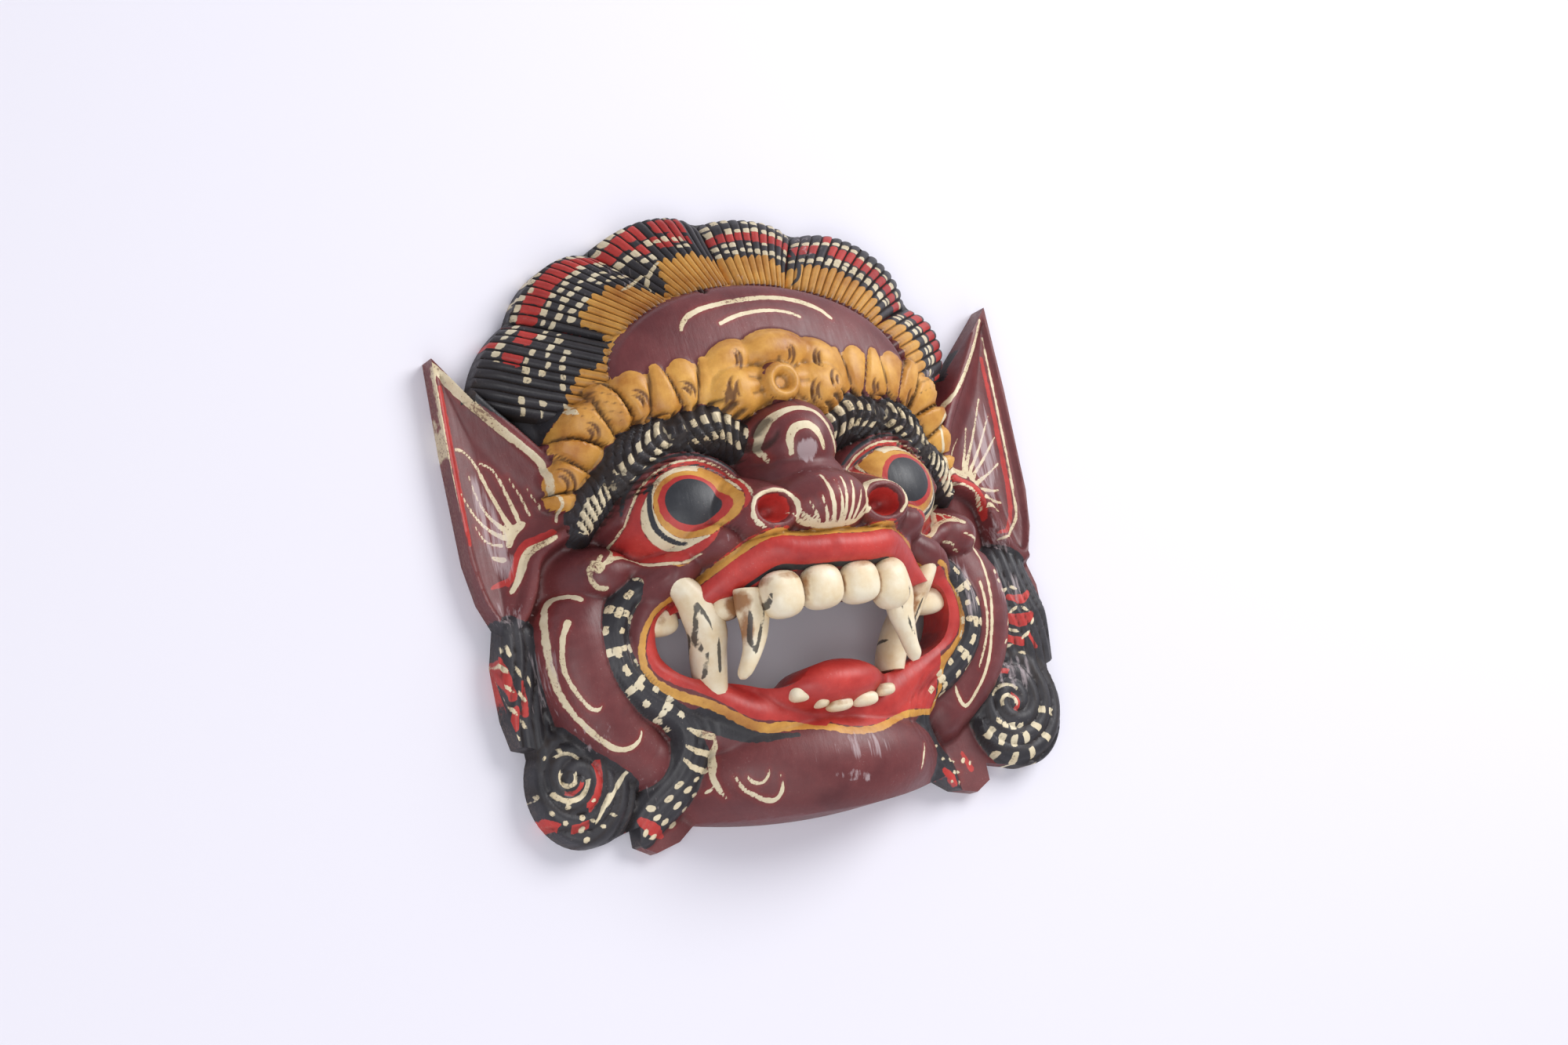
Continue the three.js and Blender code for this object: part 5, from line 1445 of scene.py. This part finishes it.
def painted_wood():
    material, tree, shader, place = new_material("painted_wood")
    mottle = noise(tree, place, 40.0, 6.0, 0.65)
    blotch = remap(tree, mottle, 0.32, 0.68)
    fine = noise(tree, place, 900.0, 3.0)
    grain = streaks(tree, place, 420.0)
    wander = noise(tree, place, 300.0, 2.0)
    tint = mix(tree, blotch, colour(*MAROON[0]), colour(*MAROON[1]))
    halo = math_node(tree, "MULTIPLY", remap(tree, attribute(tree, "cream"), -1.8, -0.2, 0.0, 0.55), blotch)
    tint = mix(tree, halo, tint, colour(*CREAM_HALO))
    raised = None
    for name, dark, light, waver in PAINTS:
        edge = math_node(tree, "ADD", attribute(tree, name), remap(tree, wander, 0.2, 0.8, -waver, waver))
        here = remap(tree, edge, -0.12, 0.12)
        if name == "cream":
            raised = here
            worn_off = remap(tree, math_node(tree, "ADD", fine, mottle), 0.78, 0.86, 0.35, 1.0)
            here = math_node(tree, "MULTIPLY", here, worn_off)
        tint = mix(tree, here, tint, mix(tree, blotch, colour(*dark), colour(*light)))
    # Painted shade: darker the deeper the groove or cut.
    cuts = remap(tree, attribute(tree, "recess"), 0.35, 1.0, 0.0, 0.75)
    tint = mix(tree, cuts, tint, colour(*HOLLOW_SHADE))
    gouge = remap(tree, attribute(tree, "gouge"), -0.35, 0.35, 0.0, 0.85)
    tint = mix(tree, gouge, tint, colour(*GOUGED))
    # Painted shade in the sharp hollows, where the mesh's pointiness is low.
    tint = mix(tree, math_node(tree, "MULTIPLY", hollows(tree, 0.44, 0.49), 0.5), tint, colour(*HOLLOW_SHADE))
    # Rubbed paint streaked along the grain: real wear, and painted highlights on the forehead ball and the
    # chin.
    rubbed_and_highlight = math_node(tree, "ADD", attribute(tree, "worn_and_highlight"), remap(tree, grain, 0.25, 0.75, -0.55, 0.55))
    rubbed_and_highlight = remap(tree, rubbed_and_highlight, 0.5, 0.85, 0.0, 0.5)
    tint = mix(tree, rubbed_and_highlight, tint, colour(*RUBBED_AND_HIGHLIGHT))
    edges = remap(tree, node(tree, "ShaderNodeNewGeometry").outputs["Pointiness"], 0.54, 0.62)
    edges = math_node(tree, "MULTIPLY", edges, remap(tree, fine, 0.4, 0.65, 0.0, 0.4))
    tint = mix(tree, edges, tint, colour(*BARE_EDGE))
    dust = math_node(tree, "MULTIPLY", remap(tree, fine, 0.62, 0.72),
                     remap(tree, mottle, 0.5, 0.7, 0.0, 0.25))
    tint = mix(tree, dust, tint, colour(*DUST))
    tree.links.new(tint, shader.inputs["Base Color"])
    gloss = math_node(tree, "ADD", remap(tree, mottle, 0.3, 0.7, 0.36, 0.5),
                      remap(tree, grain, 0.3, 0.7, -0.05, 0.08))
    gloss = math_node(tree, "ADD", gloss, math_node(tree, "MULTIPLY", attribute(tree, "recess"), 0.25))
    tree.links.new(gloss, shader.inputs["Roughness"])
    height = math_node(tree, "ADD", math_node(tree, "MULTIPLY", grain, 0.6),
                       math_node(tree, "MULTIPLY", mottle, 1.4))
    height = math_node(tree, "ADD", height, math_node(tree, "MULTIPLY", raised, 0.3))
    add_bump(tree, shader, height, 0.0004, 0.55)
    return material


def enamel():
    material, tree, shader, place = new_material("painted_teeth")
    mottle = noise(tree, place, 90.0, 5.0, 0.6)
    fine = noise(tree, place, 700.0, 3.0)
    tint = mix(tree, remap(tree, mottle, 0.35, 0.75), colour(*TOOTH[0]), colour(*TOOTH[1]))
    # Brown stain, and painted shade under the upper lip and between the teeth.
    stain_and_shade = math_node(tree, "ADD", attribute(tree, "stain_and_shade"), remap(tree, mottle, 0.3, 0.7, -0.35, 0.35))
    tint = mix(tree, remap(tree, stain_and_shade, 0.35, 0.95, 0.0, 0.9), tint, colour(*TOOTH_STAIN_AND_SHADE))
    line = math_node(tree, "ADD", attribute(tree, "tooth_ink"), remap(tree, fine, 0.2, 0.8, -0.15, 0.15))
    tint = mix(tree, remap(tree, line, -0.12, 0.12, 0.0, 0.9), tint, colour(*TOOTH_LINE))
    # Painted shade in the sharp hollows of the teeth, where the pointiness is low.
    tint = mix(tree, math_node(tree, "MULTIPLY", hollows(tree, 0.43, 0.49), 0.75), tint,
               colour(*TOOTH_HOLLOW_SHADE))
    tree.links.new(tint, shader.inputs["Base Color"])
    tree.links.new(remap(tree, mottle, 0.3, 0.7, 0.32, 0.5), shader.inputs["Roughness"])
    height = math_node(tree, "ADD", mottle, math_node(tree, "MULTIPLY", fine, 0.2))
    add_bump(tree, shader, height, 0.0005, 0.5)
    return material


def bare_wood():
    material, tree, shader, place = new_material("bare_wood")
    grain = streaks(tree, place, 260.0)
    broad = streaks(tree, place, 60.0, 1.0, 0.15)
    tint = mix(tree, remap(tree, grain, 0.3, 0.7), colour(*BARE_WOOD[0]), colour(*BARE_WOOD[1]))
    tint = mix(tree, remap(tree, broad, 0.4, 0.7, 0.0, 0.5), tint, colour(*DARK_BAND))
    tree.links.new(tint, shader.inputs["Base Color"])
    tree.links.new(remap(tree, grain, 0.3, 0.7, 0.68, 0.85), shader.inputs["Roughness"])
    cells = node(tree, "ShaderNodeTexVoronoi", {"Vector": place, "Scale": 70.0}, feature="SMOOTH_F1")
    height = math_node(tree, "ADD", cells.outputs["Distance"], math_node(tree, "MULTIPLY", grain, 0.3))
    add_bump(tree, shader, height, 0.002, 0.5)
    return material


# ---------------------------------------------------------------- floor, light and camera

CAMERA_AT = (-0.6454, -0.2027, 1.1488)  # metres
CAMERA_BACK = (-0.4944, -0.1495, 0.8563)
CAMERA_UP = (0.0959, 0.9697, 0.2247)
LENS = 66.22  # millimetres
SENSOR = 36.0
FLOOR_HALF = 4  # metres
FLOOR_TINT = (232, 230, 238)
# Each lamp's place in metres, its diameter and its power in watts. All face the frame's middle.
LAMPS = {"key": ((1.0, 0.7, 1.1), 1.1, 21), "fill": ((-0.8, -0.5, 1.4), 1.2, 9),
         "front": ((-0.1, -1.4, 1.1), 1.4, 4)}
SKY = {"Color": (0.9, 0.9, 1.0, 1.0), "Strength": 0.45}


def floor():
    mesh = bpy.data.meshes.new("floor")
    corners = [(x * FLOOR_HALF, y * FLOOR_HALF, 0) for x, y in ((-1, -1), (1, -1), (1, 1), (-1, 1))]
    mesh.from_pydata(corners, [], [(0, 1, 2, 3)])
    plane = bpy.data.objects.new("floor", mesh)
    bpy.context.scene.collection.objects.link(plane)
    material = bpy.data.materials.new("floor")
    material.use_nodes = True
    shader = material.node_tree.nodes["Principled BSDF"]
    shader.inputs["Base Color"].default_value = colour(*FLOOR_TINT)
    shader.inputs["Roughness"].default_value = 0.7
    mesh.materials.append(material)


def area_light(name, at, size, power):
    light = bpy.data.lights.new(name, "AREA")
    light.shape, light.size, light.energy = "DISK", size, power
    lamp = bpy.data.objects.new(name, light)
    lamp.location = at
    lamp.rotation_euler = Vector(at).to_track_quat("Z", "Y").to_euler()
    bpy.context.scene.collection.objects.link(lamp)


def camera():
    data = bpy.data.cameras.new("camera")
    data.lens, data.sensor_width = LENS, SENSOR
    eye = bpy.data.objects.new("camera", data)
    back = Vector(CAMERA_BACK).normalized()
    right = Vector(CAMERA_UP).cross(back).normalized()
    turn = Matrix((right, back.cross(right), back)).transposed()
    eye.matrix_world = Matrix.Translation(CAMERA_AT) @ turn.to_4x4()
    bpy.context.scene.collection.objects.link(eye)
    bpy.context.scene.camera = eye


mask = build_mask()
for slot, material in enumerate((painted_wood(), enamel(), bare_wood())):
    mask.data.materials[slot] = material
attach(mask, "root")
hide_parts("mask")
floor()
for lamp_name, lamp in LAMPS.items():
    area_light(lamp_name, *lamp)
world = bpy.data.worlds.new("studio")
world.use_nodes = True
for socket_name, value in SKY.items():
    world.node_tree.nodes["Background"].inputs[socket_name].default_value = value
bpy.context.scene.world = world
camera()
bpy.context.scene.view_settings.view_transform = "Standard"
